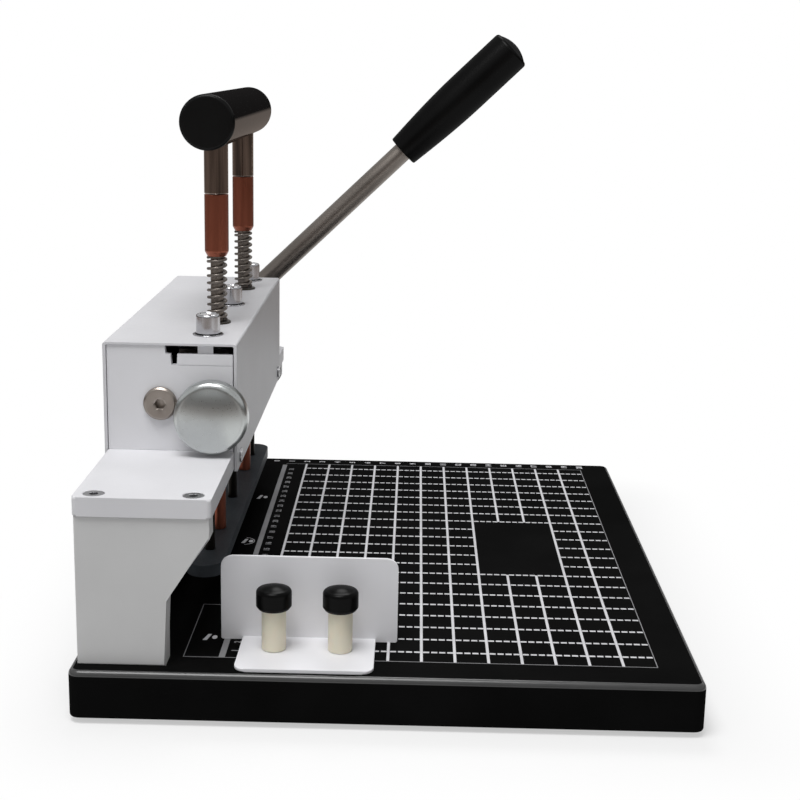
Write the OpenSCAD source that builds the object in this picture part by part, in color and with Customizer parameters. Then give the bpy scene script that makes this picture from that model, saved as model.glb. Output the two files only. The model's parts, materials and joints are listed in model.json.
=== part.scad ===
// Manual three-hole binding machine: a hand lever drives three punches down through a rack and pinions,
// a sprung T-handle clamps the paper, and a side guide sets its place on the ruled base.
// Millimetres. X runs from the punches towards the operator, Y along the row of punches, Z up.
// The origin is on the table, under the middle of the base.

/* [Base] */
// Width of the base tray, from the punch side to the operator
base_w = 278; // [270:1:320]
// Length of the base tray, along the row of punches
base_d = 354; // [350:1:420]
// Height of the base tray without its feet
base_h = 22; // [20:1:40]
// Thickness of the tray's top
tray_top = 3; // [2.5:0.5:5]
// Thickness of the tray's side walls
tray_wall = 2; // [1.5:0.25:4]
// Corner radius of the tray in plan
base_corner_r = 5; // [4:0.5:9]
// Radius of the tray's upper edge
base_edge_r = 2.5; // [1:0.5:3]
// Thickness of the bottom plate
bottom_t = 1.5; // [1:0.25:3]
// Diameter of the rubber feet
foot_d = 16; // [10:1:24]
// Height of the tray above the table
foot_h = 2.5; // [2:0.25:6]
// Width of the cutting pad under the punches
pad_w = 16; // [12:1:20]
// Thickness of the cutting pad
pad_t = 6; // [4:0.5:10]

/* [Gantry] */
// Centre line of the gantry, from the punch side's edge of the base
gantry_edge = 32.7; // [32:0.1:44]
// Middle of the gantry along the row of punches
gantry_y = 2; // [-2:0.5:2]
// Length of the bridge plate
bridge_len = 344; // [336:1:348]
// Width of the bridge plate
bridge_w = 60; // [58:1:64]
// Thickness of the bridge plate
bridge_t = 8.5; // [6:0.5:12]
// Thickness of the two side plates
side_t = 12; // [10:0.5:16]
// Height of the side plates above the base
side_h = 68; // [60:1:90]
// Width of a side plate's foot
side_foot_w = 38.8; // [34:0.2:46]
// Height of the straight part of the foot
throat_low = 30.3; // [20:0.1:40]
// Depth of the straight part under the bridge plate
throat_high = 9.5; // [6:0.5:16]

/* [Head] */
// Room in the head from its near end to the first punch
head_near_room = 24.6; // [24:0.1:32]
// Room in the head from the last punch to its far end
head_far_room = 12; // [11.6:0.1:20]
// Height of the cover above the bridge plate
head_h = 52.25; // [51:0.25:60]
// Sheet thickness of the cover
cover_t = 1.5; // [1:0.25:2]
// Reach of the cover's sides below the top of the bridge plate
cover_drop = 9.5; // [8:0.5:14]
// Thickness of the end plates
end_t = 3; // [2.5:0.5:4]

/* [Punches] */
// Distance of the tool line from the gantry's centre line
tool_offset = 14.8; // [13:0.1:15.5]
// Middle of the row of punches
tool_y = 23; // [21:0.5:24]
// Spacing of the punches
punch_pitch = 90; // [86:1:91]
// Diameter of a punch
punch_d = 5; // [3:0.5:6]
// Height of the carrier bar
carrier_h = 29; // [27:0.5:29.5]
// Width of the carrier bar
carrier_w = 24; // [22:0.5:25]
// Diameter of a clamp screw's head
clamp_head_d = 11.6; // [10:0.2:14]
// Height of a clamp screw's head
clamp_head_h = 9.6; // [8:0.2:14]

/* [Lever] */
// Diameter of the main shaft
shaft_d = 12; // [10:0.5:12]
// Height of the main shaft above the bridge plate
shaft_h = 23.3; // [23:0.1:24]
// Gear module of the pinions and racks
gear_m = 1.5; // [1.3:0.05:1.5]
// Teeth of a pinion
pinion_teeth = 20; // [18:1:20]
// Swing of the lever from rest to full stroke, in degrees
lever_swing = 62; // [40:1:62]
// Angle of the lever above the horizontal at rest, in degrees
lever_angle = 43.9; // [40:0.1:60]
// Diameter of the lever rod
lever_d = 12; // [8:0.5:13]
// Distance from the shaft to the lower end of the grip
grip_start = 153; // [120:1:180]
// Length of the grip
grip_len = 90; // [80:1:110]
// Largest diameter of the grip
grip_d = 25.2; // [22:0.2:30]
// Diameter of the grip's lower end
grip_low_d = 19.6; // [17:0.2:22]

/* [Paper press] */
// Spacing of the two press rods
rod_pitch = 113; // [110:1:116]
// Diameter of a press rod
rod_d = 6.4; // [5:0.2:7]
// Diameter of the bright and copper sleeves above the head
sleeve_d = 12; // [10:0.5:14]
// Diameter of the copper sleeves under the bridge plate
low_sleeve_d = 7.4; // [7.4:0.2:12]
// Length of the copper sleeves above the head
copper_len = 31; // [20:1:40]
// Length of the bright sleeves below the handle bar
bright_len = 23; // [15:1:40]
// Diameter of the handle bar
bar_d = 26.5; // [20:0.5:32]
// Length of the handle bar
bar_len = 178; // [150:1:200]
// Height of the raised press plate above the base
press_gap = 13.5; // [10:0.5:18]
// Thickness of the press plate
press_t = 6; // [4:0.5:8]
// Width of the press plate
press_w = 18; // [14:0.5:24]
// Length of the press plate
press_len = 232; // [214:1:240]
// Free height of a press spring in the machine
spring_len = 33; // [30:0.1:40]
// Outer diameter of a press spring
spring_d = 10.4; // [10.2:0.1:12]
// Wire diameter of a press spring
spring_wire = 1.5; // [1.2:0.1:1.6]
// Turns of a press spring
spring_turns = 8.5; // [6:0.5:9]

/* [Depth knob] */
// Diameter of the knob
knob_d = 35; // [28:0.5:36]
// Thickness of the knob
knob_t = 11; // [8:0.5:14]
// Place of the knob to the right of the tool line
knob_offset = 5.8; // [4:0.1:7]
// Height of the knob's centre above the bridge plate
knob_h = 19.1; // [18.5:0.1:21]

/* [Side guide] */
// Middle of the guide, from the punch side's edge of the base
guide_edge = 102.5; // [99:0.5:129]
// Near face of the guide's upright plate at rest, from the near edge of the base
guide_inset = 40.4; // [39:0.2:57]
// Width of the guide's upright plate
guide_w = 80.7; // [76:0.1:100]
// Height of the guide's upright plate
guide_h = 40.2; // [30:0.2:60]
// Width of the guide's foot
guide_foot_w = 61; // [54:0.5:74]
// Depth of the guide's foot
guide_foot_d = 37; // [30:0.5:38]
// Sheet thickness of the guide
guide_t = 1.5; // [1:0.25:3]
// Corner radius of the guide
guide_r = 5; // [2:0.5:8]
// Spacing of the two guide screws
guide_pitch = 29.8; // [26:0.2:34]
// Travel of the guide along its slots
guide_travel = 66; // [40:1:90]
// Diameter of a guide screw's cap
cap_d = 16; // [13:0.5:20]
// Height of a guide screw's cap
cap_h = 10.8; // [10:0.2:18]
// Diameter of a guide screw's nylon stem
stem_d = 11; // [9:0.5:13]
// Height of a guide screw's nylon stem
stem_h = 19.2; // [10:0.2:24]

/* [Hidden] */
$fn = 64;

// Clearances: pressed and bolted pieces, running fits and passing holes are on the diameter
fit_c = 0.02;
run_c = 0.1;
loose_c = 0.8;
// Faces that move past each other, and the cover's room at the bridge plate's edges
gap = 0.3;
slide_gap = 0.1;
cover_gap = 0.2;
// Overrun of cutting shapes
eps = 0.5;

// Small screws
screw_d = 4;
screw_head_d = 7;
screw_head_h = 2.2;
cover_head_h = 0.9;

// Heights
top_z = foot_h + base_h;
tray_in_z = top_z - tray_top;
bottom_z = foot_h + 0.5;
bottom_top_z = bottom_z + bottom_t;
bridge_z = top_z + side_h;
bridge_top_z = bridge_z + bridge_t;
cover_z = bridge_top_z + head_h;
cover_in_z = cover_z - cover_t;

// Gantry
gantry_x = gantry_edge - base_w / 2;
near_side_y = gantry_y - bridge_len / 2 + 1;
far_side_y = gantry_y + bridge_len / 2 - 1 - side_t;
side_x0 = gantry_x - bridge_w / 2 + 0.5;
side_x1 = gantry_x + bridge_w / 2 - 1;
side_mid_ys = [near_side_y + side_t / 2, far_side_y + side_t / 2];
bridge_screw_xs = [gantry_x - 21.5, gantry_x + 21.5];
side_bolt_xs = [side_x0 + side_foot_w / 2 - 9, side_x0 + side_foot_w / 2 + 9];

// Head and its end plates
head_near_y = tool_y - punch_pitch - head_near_room;
head_far_y = tool_y + punch_pitch + head_far_room;
head_len = head_far_y - head_near_y;
near_end_y = head_near_y + 0.8;
near_in_y = near_end_y + end_t;
far_end_y = head_far_y - 0.8;
far_in_y = far_end_y - end_t;
end_x0 = gantry_x - bridge_w / 2;
end_x1 = gantry_x + bridge_w / 2 - 1;
end_foot_d = 12;
end_foot_w = 26;
cover_screw_grip = 6;
end_screw_x = end_x0 + cover_screw_grip + screw_d;
end_screw_xs = [end_screw_x, end_screw_x + 11];
cover_screw_ys = [head_near_y + 11.3, head_far_y - 11.3];
cover_x = bridge_w / 2 + cover_gap;

// Tool line
tool_x = gantry_x + tool_offset;
punch_ys = [tool_y - punch_pitch, tool_y, tool_y + punch_pitch];
rod_ys = [tool_y - rod_pitch / 2, tool_y + rod_pitch / 2];
post_pitch = 67;
post_ys = [tool_y - post_pitch / 2, tool_y + post_pitch / 2];
post_d = 8;

// Rack and pinions
pitch_r = gear_m * pinion_teeth / 2;
base_r = pitch_r * cos(20);
tip_r = pitch_r + 0.9 * gear_m;
root_r = pitch_r - 1.25 * gear_m;
tooth_pitch = PI * gear_m;
backlash = 0.2;
pinion_w = 12;
rack_w = 11;
pinion_shift = (punch_pitch + rod_pitch / 2) / 2;
pinion_ys = [tool_y - pinion_shift, tool_y + pinion_shift];
rack_x = tool_x - 4.5;
rack_back_x = rack_x + 4;
shaft_x = rack_x - pitch_r;
shaft_z = bridge_top_z + shaft_h;
stroke = pitch_r * lever_swing * PI / 180;

// Carrier
rack_low = 4.8;
carrier_z = shaft_z - rack_low;
carrier_top = carrier_z + carrier_h;
carrier_x0 = tool_x - carrier_w / 2;
carrier_x1 = tool_x + carrier_w / 2;
carrier_y0 = near_in_y + 7.8;
carrier_y1 = far_in_y - 0.7;
spring_pocket_d = 15;
spring_pocket_h = 14;
punch_head_d = punch_d + 2.8;
punch_seat_z = carrier_z + 5;
punch_head_h = 8;
punch_bore_h = 12;
punch_tip_z = top_z + stroke + 0.2;
rack_screw_ks = [0, 3];
rack_screw_d = 3;

// Clamp screws and cover eyelets
eyelet_h = 0.6;
eyelet_in_d = clamp_head_d + loose_c;
eyelet_tube_d = clamp_head_d + 2;
clamp_head_z = cover_z + eyelet_h + 0.2;

// Shaft and lever
bush_wall = 1.5;
bush_flange = 1.5;
shaft_near_y = near_end_y - gap;
hub_y = far_end_y + 6.8;
hub_len = 24;
hub_r = 14;
lever_y = hub_y + hub_len / 2;
lever_seat = shaft_d / 2 + 0.8;
end_screw_d = 6;
end_screw_len = 14;
pin_d = 3;
grip_bore = 52;

// Paper press
spring_seat_t = 1;
spring_z = cover_z + spring_seat_t;
copper_z = spring_z + spring_len;
bright_z = copper_z + copper_len;
bar_z = bright_z + bright_len + bar_d / 2;
bar_y0 = tool_y - bar_len / 2;
bar_cap_t = 2.5;
bar_bore_d = bar_d - 8;
press_z = top_z + press_gap;
press_top_z = press_z + press_t;
rod_bush_flange = 2;
low_sleeve_h = bridge_z - rod_bush_flange - gap - press_top_z;
press_screw_d = 4;
pad_len = 232;

// Depth knob and its eccentric
knob_x = tool_x + knob_offset;
knob_z = bridge_top_z + knob_h;
cam_r = 4.6;
cam_shift = 1.2;
cam_stub_d = 6;
knob_flange = 1.2;
knob_neck_y = near_end_y - knob_flange - gap;
knob_neck = 3.7;
knob_back_y = knob_neck_y - knob_neck;
knob_bore = 8;
lug_z = knob_z + cam_r + cam_shift + gap + stroke;
lug_t = 2.5;
lug_w = 10;
lug_seat = 6;

// Side guide and its screws
guide_x = guide_edge - base_w / 2;
guide_y = guide_inset - base_d / 2;
guide_z = top_z + slide_gap;
guide_top_z = guide_z + guide_t;
guide_screw_y = guide_y - 13.6;
stud_d = 5;
slot_w = stud_d + loose_c;
nut_w = 12;
nut_t = 4;
nut_z = tray_in_z - gap - nut_t;
stem_z = guide_top_z + slide_gap;
cap_z = stem_z + stem_h;

// Rows of places on the base
boss_d = 10;
boss_xs = [-base_w / 2 + 12, base_w / 2 - 12];
boss_ys = [-base_d / 3, 0, base_d / 3];
foot_xs = [-base_w / 2 + 22, base_w / 2 - 22];
foot_ys = [-base_d / 2 + 22, base_d / 2 - 22];
stop_x0 = tool_x - 24.5;
stop_t = 6;
stop_h = 14;
stop_screw_pitch = 200;
stop_screw_ys = [gantry_y - stop_screw_pitch / 2, gantry_y + stop_screw_pitch / 2];

// Springs: the path of each coil, and the least gap between its turns
return_spring_d = 12.6;
return_wire = 1.4;
return_turns = 6;
return_len = carrier_z + spring_pocket_h - bridge_top_z;
curl_rings = 8;
tube_sides = 6;

function coil_path(d, wire, len, turns) = [
    for (i = [0:turns * curl_rings])
        let (a = 360 * i / curl_rings)
        let (z = wire / 2 + (len - wire) * i / (turns * curl_rings))
        [(d - wire) / 2 * cos(a), (d - wire) / 2 * sin(a), z]
];

function coil_gap(path, wire) = min([
    for (i = [0:len(path) - 1])
        for (j = [i + curl_rings / 2:1:len(path) - 1])
            norm(path[i] - path[j]) - wire
]);

press_path = coil_path(spring_d, spring_wire, spring_len, spring_turns);
return_path = coil_path(return_spring_d, return_wire, return_len, return_turns);
echo("Least gap of a press spring to itself", coil_gap(press_path, spring_wire));
echo("Least gap of a return spring to itself", coil_gap(return_path, return_wire));

// Shapes used by several sub-parts
module rounded_plan(w, d, r) {
    square([w - 2 * r, d], center = true);
    square([w, d - 2 * r], center = true);
    for (sx = [-1, 1])
        for (sy = [-1, 1])
            translate([sx * (w / 2 - r), sy * (d / 2 - r)])
                circle(r);
}

// A cylinder along +Y, and one along +X
module y_cylinder(d, len) {
    rotate([-90, 0, 0])
        cylinder(d = d, h = len);
}

module x_cylinder(d, len) {
    rotate([0, 90, 0])
        cylinder(d = d, h = len);
}

// An outline drawn in X and Z, extruded along +Y
module xz_extrude(len) {
    translate([0, len, 0])
        rotate([90, 0, 0])
            linear_extrude(len)
                children();
}

// A ring along Z, and one along +Y
module ring(outer_d, inner_d, h) {
    difference() {
        cylinder(d = outer_d, h = h);
        translate([0, 0, -eps])
            cylinder(d = inner_d, h = h + 2 * eps);
    }
}

module y_ring(outer_d, inner_d, len) {
    rotate([-90, 0, 0])
        ring(outer_d, inner_d, len);
}

// A low-headed screw, its head below z = 0 and its shank upwards
module small_screw(shank, head_h = screw_head_h) {
    translate([0, 0, -head_h])
        difference() {
            cylinder(d = screw_head_d, h = head_h);
            translate([0, 0, -eps])
                cylinder(d = 3, h = head_h * 0.6 + eps, $fn = 6);
        }
    cylinder(d = screw_d, h = shank);
}

// A spring's round wire, as one tube along its path
module coil(path, wire) {
    last = len(path) - 1;
    rise = path[1][2] - path[0][2];
    radius = norm([path[0][0], path[0][1]]);
    lean = atan2(rise * curl_rings, 2 * PI * radius);
    points = [
        for (i = [0:last])
            let (a = 360 * i / curl_rings)
            let (out = [cos(a), sin(a), 0])
            let (up = [sin(a) * sin(lean), -cos(a) * sin(lean), cos(lean)])
            for (k = [0:tube_sides - 1])
                path[i] + wire / 2 * (cos(360 * k / tube_sides) * out + sin(360 * k / tube_sides) * up)
    ];
    sides = [
        for (i = [0:last - 1])
            for (k = [0:tube_sides - 1])
                let (p = i * tube_sides + k)
                let (q = i * tube_sides + (k + 1) % tube_sides)
                for (f = [[p, p + tube_sides, q], [q, p + tube_sides, q + tube_sides]])
                    f
    ];
    start = [for (k = [1:tube_sides - 2]) [0, k, k + 1]];
    end = [for (k = [1:tube_sides - 2]) [0, k + 1, k] + [1, 1, 1] * last * tube_sides];
    polyhedron(points, concat(sides, start, end));
}

// Base

module tray_shell() {
    difference() {
        hull()
            for (sx = [-1, 1])
                for (sy = [-1, 1])
                    translate([sx * (base_w / 2 - base_corner_r), sy * (base_d / 2 - base_corner_r),
                        foot_h]) {
                        cylinder(r = base_corner_r, h = base_h - base_edge_r, $fn = 32);
                        for (a = [22.5:22.5:90])
                            translate([0, 0, base_h - base_edge_r * (1 - sin(a)) - 0.01])
                                cylinder(r = base_corner_r - base_edge_r * (1 - cos(a)), h = 0.01, $fn = 32);
                    }
        translate([0, 0, foot_h - eps])
            linear_extrude(base_h - tray_top + eps)
                rounded_plan(base_w - 2 * tray_wall, base_d - 2 * tray_wall, base_corner_r - tray_wall);
    }
}

module guide_slot() {
    for (y = [0, guide_travel])
        translate([0, y])
            circle(d = slot_w);
    translate([-slot_w / 2, 0])
        square([slot_w, guide_travel]);
}

module base_tray() {
    color("#202123")
        difference() {
            union() {
                tray_shell();
                for (x = boss_xs)
                    for (y = boss_ys)
                        translate([x, y, bottom_top_z])
                            cylinder(d = boss_d, h = tray_in_z - bottom_top_z + eps);
            }
            for (x = boss_xs)
                for (y = boss_ys)
                    translate([x, y, bottom_top_z - eps])
                        cylinder(d = screw_d + fit_c, h = 12.5);
            translate([tool_x - pad_w / 2 - slide_gap, tool_y - pad_len / 2 - slide_gap, tray_in_z - eps])
                cube([pad_w + 2 * slide_gap, pad_len + 2 * slide_gap, tray_top + 2 * eps]);
            for (x = side_bolt_xs)
                for (y = side_mid_ys)
                    translate([x, y, tray_in_z - eps])
                        cylinder(d = 6 + fit_c, h = tray_top + 2 * eps);
            for (y = stop_screw_ys)
                translate([stop_x0 + stop_t / 2, y, tray_in_z - eps])
                    cylinder(d = screw_d + fit_c, h = tray_top + 2 * eps);
            for (side = [-1, 1])
                translate([guide_x + side * guide_pitch / 2, guide_screw_y, tray_in_z - eps])
                    linear_extrude(tray_top + 2 * eps)
                        guide_slot();
        }
}

module bottom_plate() {
    color("#5b5d60")
        difference() {
            translate([0, 0, bottom_z])
                linear_extrude(bottom_t)
                    rounded_plan(base_w - 2 * tray_wall - 2 * gap, base_d - 2 * tray_wall - 2 * gap,
                        base_corner_r - tray_wall - gap);
            for (x = boss_xs)
                for (y = boss_ys)
                    translate([x, y, bottom_z - eps])
                        cylinder(d = screw_d + fit_c, h = bottom_t + 2 * eps);
        }
}

module rubber_feet() {
    color("#161616")
        for (x = foot_xs)
            for (y = foot_ys)
                translate([x, y, 0])
                    cylinder(d = foot_d, h = bottom_z);
}

module bottom_screws() {
    color("#a6a8ab")
        for (x = boss_xs)
            for (y = boss_ys)
                translate([x, y, bottom_z])
                    small_screw(bottom_t + 11);
}

module cutting_pad() {
    color("#2b2c2e")
        translate([tool_x - pad_w / 2, tool_y - pad_len / 2, top_z - pad_t])
            cube([pad_w, pad_len, pad_t]);
}

module pad_support() {
    color("#7b7d80")
        translate([tool_x - pad_w / 2 - 2, tool_y - pad_len / 2 + 4, bottom_top_z])
            cube([pad_w + 4, pad_len - 8, top_z - pad_t - bottom_top_z]);
}

// Gantry

module side_plate(y) {
    difference() {
        translate([0, y, 0])
            xz_extrude(side_t)
                polygon([
                    [side_x0, top_z],
                    [side_x0 + side_foot_w, top_z],
                    [side_x0 + side_foot_w, top_z + throat_low],
                    [side_x1, bridge_z - throat_high],
                    [side_x1, bridge_z],
                    [side_x0, bridge_z]
                ]);
        for (x = side_bolt_xs)
            translate([x, y + side_t / 2, top_z - eps])
                cylinder(d = 6 + fit_c, h = 16 + eps);
        for (x = bridge_screw_xs)
            translate([x, y + side_t / 2, bridge_z - 16])
                cylinder(d = 5 + fit_c, h = 16 + eps);
    }
}

module near_side_plate() {
    color("#e9eaec")
        side_plate(near_side_y);
}

module far_side_plate() {
    color("#e9eaec")
        side_plate(far_side_y);
}

module side_plate_bolts() {
    color("#8d8f92")
        for (x = side_bolt_xs)
            for (y = side_mid_ys)
                translate([x, y, tray_in_z]) {
                    translate([0, 0, -6])
                        cylinder(d = 10, h = 6);
                    cylinder(d = 6, h = tray_top + 15);
                }
}

module bridge_plate() {
    color("#e4e5e7")
        difference() {
            translate([gantry_x - bridge_w / 2, gantry_y - bridge_len / 2, bridge_z])
                cube([bridge_w, bridge_len, bridge_t]);
            for (x = bridge_screw_xs)
                for (y = side_mid_ys)
                    translate([x, y, bridge_z - eps]) {
                        cylinder(d = 5 + fit_c, h = bridge_t + 2 * eps);
                        translate([0, 0, eps + bridge_t - 2.5])
                            cylinder(d1 = 5 + fit_c, d2 = 10 + fit_c, h = 2.5);
                    }
            for (y = punch_ys)
                translate([tool_x, y, bridge_z - eps])
                    cylinder(d = punch_d + 4 + fit_c, h = bridge_t + 2 * eps);
            for (y = rod_ys)
                translate([tool_x, y, bridge_z - eps])
                    cylinder(d = rod_d + 3.6 + fit_c, h = bridge_t + 2 * eps);
            for (y = post_ys)
                translate([tool_x, y, bridge_z - eps])
                    cylinder(d = post_d + fit_c, h = bridge_t + 2 * eps);
            for (x = end_screw_xs)
                for (y = [near_in_y + end_foot_d / 2, far_in_y - end_foot_d / 2])
                    translate([x, y, bridge_top_z - bridge_t + 1])
                        cylinder(d = screw_d + fit_c, h = bridge_t);
            for (y = cover_screw_ys)
                for (x = [gantry_x - bridge_w / 2 - eps, gantry_x + bridge_w / 2 - cover_screw_grip - 1])
                    translate([x, y, bridge_z + bridge_t / 2])
                        x_cylinder(screw_d + fit_c, cover_screw_grip + 1 + eps);
        }
}

module bridge_screws() {
    color("#b9bbbe")
        for (x = bridge_screw_xs)
            for (y = side_mid_ys)
                translate([x, y, bridge_top_z])
                    difference() {
                        union() {
                            translate([0, 0, -bridge_t - 14])
                                cylinder(d = 5, h = bridge_t + 14);
                            translate([0, 0, -2.5])
                                cylinder(d1 = 5, d2 = 10, h = 2.5);
                        }
                        translate([0, 0, -2])
                            cylinder(d = 3.6, h = 2 + eps, $fn = 6);
                    }
}

// Head

module end_plate(y, foot_y) {
    translate([0, y, 0])
        xz_extrude(end_t)
            translate([end_x0, bridge_top_z])
                square([end_x1 - end_x0, cover_in_z - slide_gap - bridge_top_z]);
    translate([end_x0, foot_y, bridge_top_z])
        cube([end_foot_w, end_foot_d + end_t, end_t]);
}

module near_end_plate() {
    window_x = tool_x - 17.1;
    color("#eceded")
        difference() {
            end_plate(near_end_y, near_end_y);
            translate([window_x, near_end_y - eps, carrier_top])
                cube([bridge_w, end_t + 2 * eps, head_h]);
            translate([window_x + 2.7, near_end_y - eps, carrier_top - 5.2])
                cube([3.1, end_t + 2 * eps, head_h]);
            translate([shaft_x, near_end_y - eps, shaft_z])
                y_cylinder(shaft_d + 2 * bush_wall + fit_c, end_t + 2 * eps);
            translate([knob_x, near_end_y - eps, knob_z])
                y_cylinder(cam_stub_d + 4 + fit_c, end_t + 2 * eps);
            for (x = end_screw_xs)
                translate([x, near_in_y + end_foot_d / 2, bridge_top_z - eps])
                    cylinder(d = screw_d + fit_c, h = end_t + 2 * eps);
        }
}

module far_end_plate() {
    color("#eceded")
        difference() {
            end_plate(far_in_y, far_in_y - end_foot_d);
            translate([shaft_x, far_in_y - eps, shaft_z])
                y_cylinder(shaft_d + 2 * bush_wall + fit_c, end_t + 2 * eps);
            for (x = end_screw_xs)
                translate([x, far_in_y - end_foot_d / 2, bridge_top_z - eps])
                    cylinder(d = screw_d + fit_c, h = end_t + 2 * eps);
        }
}

module end_plate_screws() {
    color("#a6a8ab")
        for (x = end_screw_xs)
            for (y = [near_in_y + end_foot_d / 2, far_in_y - end_foot_d / 2])
                translate([x, y, bridge_top_z + end_t])
                    rotate([180, 0, 0])
                        small_screw(end_t + bridge_t - 2);
}

module head_cover() {
    color("#f1f2f3")
        difference() {
            translate([gantry_x, 0, 0])
                difference() {
                    translate([-cover_x - cover_t, head_near_y, bridge_top_z - cover_drop])
                        cube([2 * (cover_x + cover_t), head_len, head_h + cover_drop]);
                    translate([-cover_x, head_near_y - eps, bridge_top_z - cover_drop - eps])
                        cube([2 * cover_x, head_len + 2 * eps, head_h + cover_drop - cover_t + eps]);
                }
            for (y = punch_ys)
                translate([tool_x, y, cover_in_z - eps])
                    cylinder(d = eyelet_tube_d + fit_c, h = cover_t + 2 * eps);
            for (y = rod_ys)
                translate([tool_x, y, cover_in_z - eps])
                    cylinder(d = rod_d + loose_c, h = cover_t + 2 * eps);
            for (y = cover_screw_ys)
                translate([gantry_x - cover_x - cover_t - eps, y, bridge_z + bridge_t / 2])
                    x_cylinder(screw_d + fit_c, 2 * (cover_x + cover_t + eps));
        }
}

module cover_screws() {
    color("#c4c6c8")
        for (y = cover_screw_ys)
            translate([gantry_x, y, bridge_z + bridge_t / 2])
                for (side = [0, 180])
                    rotate([0, 0, side])
                        translate([cover_x + cover_t, 0, 0])
                            rotate([0, -90, 0])
                                small_screw(cover_t + cover_gap + cover_screw_grip, cover_head_h);
}

module cover_eyelets() {
    color("#9fa1a4")
        for (y = punch_ys)
            translate([tool_x, y, cover_in_z])
                difference() {
                    union() {
                        cylinder(d = eyelet_tube_d, h = cover_t + eyelet_h);
                        translate([0, 0, cover_t])
                            cylinder(d = eyelet_tube_d + 1.4, h = eyelet_h);
                    }
                    translate([0, 0, -eps])
                        cylinder(d = eyelet_in_d, h = cover_t + eyelet_h + 2 * eps);
                }
}

module spring_seats() {
    color("#2a2a2b")
        for (y = rod_ys)
            translate([tool_x, y, cover_z])
                ring(spring_d + 3.2, rod_d + loose_c, spring_seat_t);
}

module shaft_bush() {
    y_ring(shaft_d + 2 * bush_wall, shaft_d + run_c, end_t);
    translate([0, end_t, 0])
        y_ring(shaft_d + 2 * bush_wall + 4, shaft_d + run_c, bush_flange);
}

module shaft_bushes() {
    color("#b08d4f")
        for (y = [near_end_y, far_in_y])
            translate([shaft_x, y, shaft_z])
                shaft_bush();
}

module knob_bush() {
    color("#b08d4f")
        translate([knob_x, near_end_y, knob_z]) {
            y_ring(cam_stub_d + 4, cam_stub_d + run_c, end_t);
            translate([0, -knob_flange, 0])
                y_ring(cam_stub_d + 7, cam_stub_d + run_c, knob_flange);
        }
}

// A flanged guide bush in the bridge plate, its flange underneath
module guide_bush(bore_d, outer_d) {
    translate([0, 0, bridge_z])
        ring(outer_d, bore_d, bridge_t);
    translate([0, 0, bridge_z - rod_bush_flange])
        ring(outer_d + 4, bore_d, rod_bush_flange);
}

module punch_bushes() {
    color("#b08d4f")
        for (y = punch_ys)
            translate([tool_x, y, 0])
                guide_bush(punch_d + run_c, punch_d + 4);
}

module rod_bushes() {
    color("#b08d4f")
        for (y = rod_ys)
            translate([tool_x, y, 0])
                guide_bush(rod_d + run_c, rod_d + 3.6);
}

module guide_posts() {
    color("#c2c4c6")
        for (y = post_ys)
            translate([tool_x, y, bridge_z])
                cylinder(d = post_d, h = cover_in_z - 1 - bridge_z);
}

module back_stop() {
    stop_y = near_side_y + side_t + eps;
    color("#1e1f20")
        difference() {
            translate([stop_x0, stop_y, top_z])
                cube([stop_t, far_side_y - eps - stop_y, stop_h]);
            for (y = stop_screw_ys)
                translate([stop_x0 + stop_t / 2, y, top_z - eps])
                    cylinder(d = screw_d + fit_c, h = 10 + eps);
        }
}

module back_stop_screws() {
    color("#a6a8ab")
        for (y = stop_screw_ys)
            translate([stop_x0 + stop_t / 2, y, tray_in_z])
                small_screw(tray_top + 9);
}

module press_springs() {
    color("#8f9193")
        for (y = rod_ys)
            translate([tool_x, y, spring_z])
                coil(press_path, spring_wire);
}

module return_springs() {
    color("#8f9193")
        for (y = post_ys)
            translate([tool_x, y, bridge_top_z])
                coil(return_path, return_wire);
}

// Lever, shaft and pinions

function involute(a) = tan(a) * 180 / PI - a;

function tooth_half(r) = 90 / pinion_teeth - backlash / 4 / pitch_r * 180 / PI
    + involute(20) - involute(acos(min(1, base_r / r)));

module pinion_outline() {
    radii = [root_r, base_r, for (i = [1:4]) base_r + (tip_r - base_r) * i / 4];
    rising = [for (r = radii) [r, -tooth_half(max(r, base_r))]];
    falling = [for (i = [len(radii) - 1:-1:0]) [radii[i], tooth_half(max(radii[i], base_r))]];
    polygon([
        for (t = [0:pinion_teeth - 1])
            for (p = concat(rising, falling))
                let (a = p[1] + 360 * t / pinion_teeth)
                p[0] * [cos(a), sin(a)]
    ]);
}

// Places a piece of the lever, its z axis along the lever from the shaft
module along_lever() {
    translate([shaft_x, lever_y, shaft_z])
        rotate([0, 90 - lever_angle, 0])
            children();
}

module pinion_pin(d, len) {
    rotate([0, -9, 0])
        translate([0, 0, -len / 2])
            cylinder(d = d, h = len);
}

module main_shaft() {
    color("#a9abad")
        difference() {
            translate([shaft_x, shaft_near_y, shaft_z])
                y_cylinder(shaft_d, hub_y + hub_len - shaft_near_y);
            translate([shaft_x, shaft_near_y - eps, shaft_z])
                y_cylinder(end_screw_d + fit_c, end_screw_len + 2 + eps);
            for (y = pinion_ys)
                translate([shaft_x, y, shaft_z])
                    pinion_pin(pin_d + fit_c, shaft_d + 2);
        }
}

module pinions() {
    color("#85878a")
        for (y = pinion_ys)
            difference() {
                translate([shaft_x, y - pinion_w / 2, shaft_z])
                    xz_extrude(pinion_w)
                        pinion_outline();
                translate([shaft_x, y - pinion_w / 2 - eps, shaft_z])
                    y_cylinder(shaft_d + fit_c, pinion_w + 2 * eps);
                translate([shaft_x, y, shaft_z])
                    pinion_pin(pin_d + fit_c, 2 * tip_r + 2);
            }
}

module pinion_pins() {
    color("#6d6f72")
        for (y = pinion_ys)
            translate([shaft_x, y, shaft_z])
                pinion_pin(pin_d, 2 * root_r - 2);
}

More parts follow.
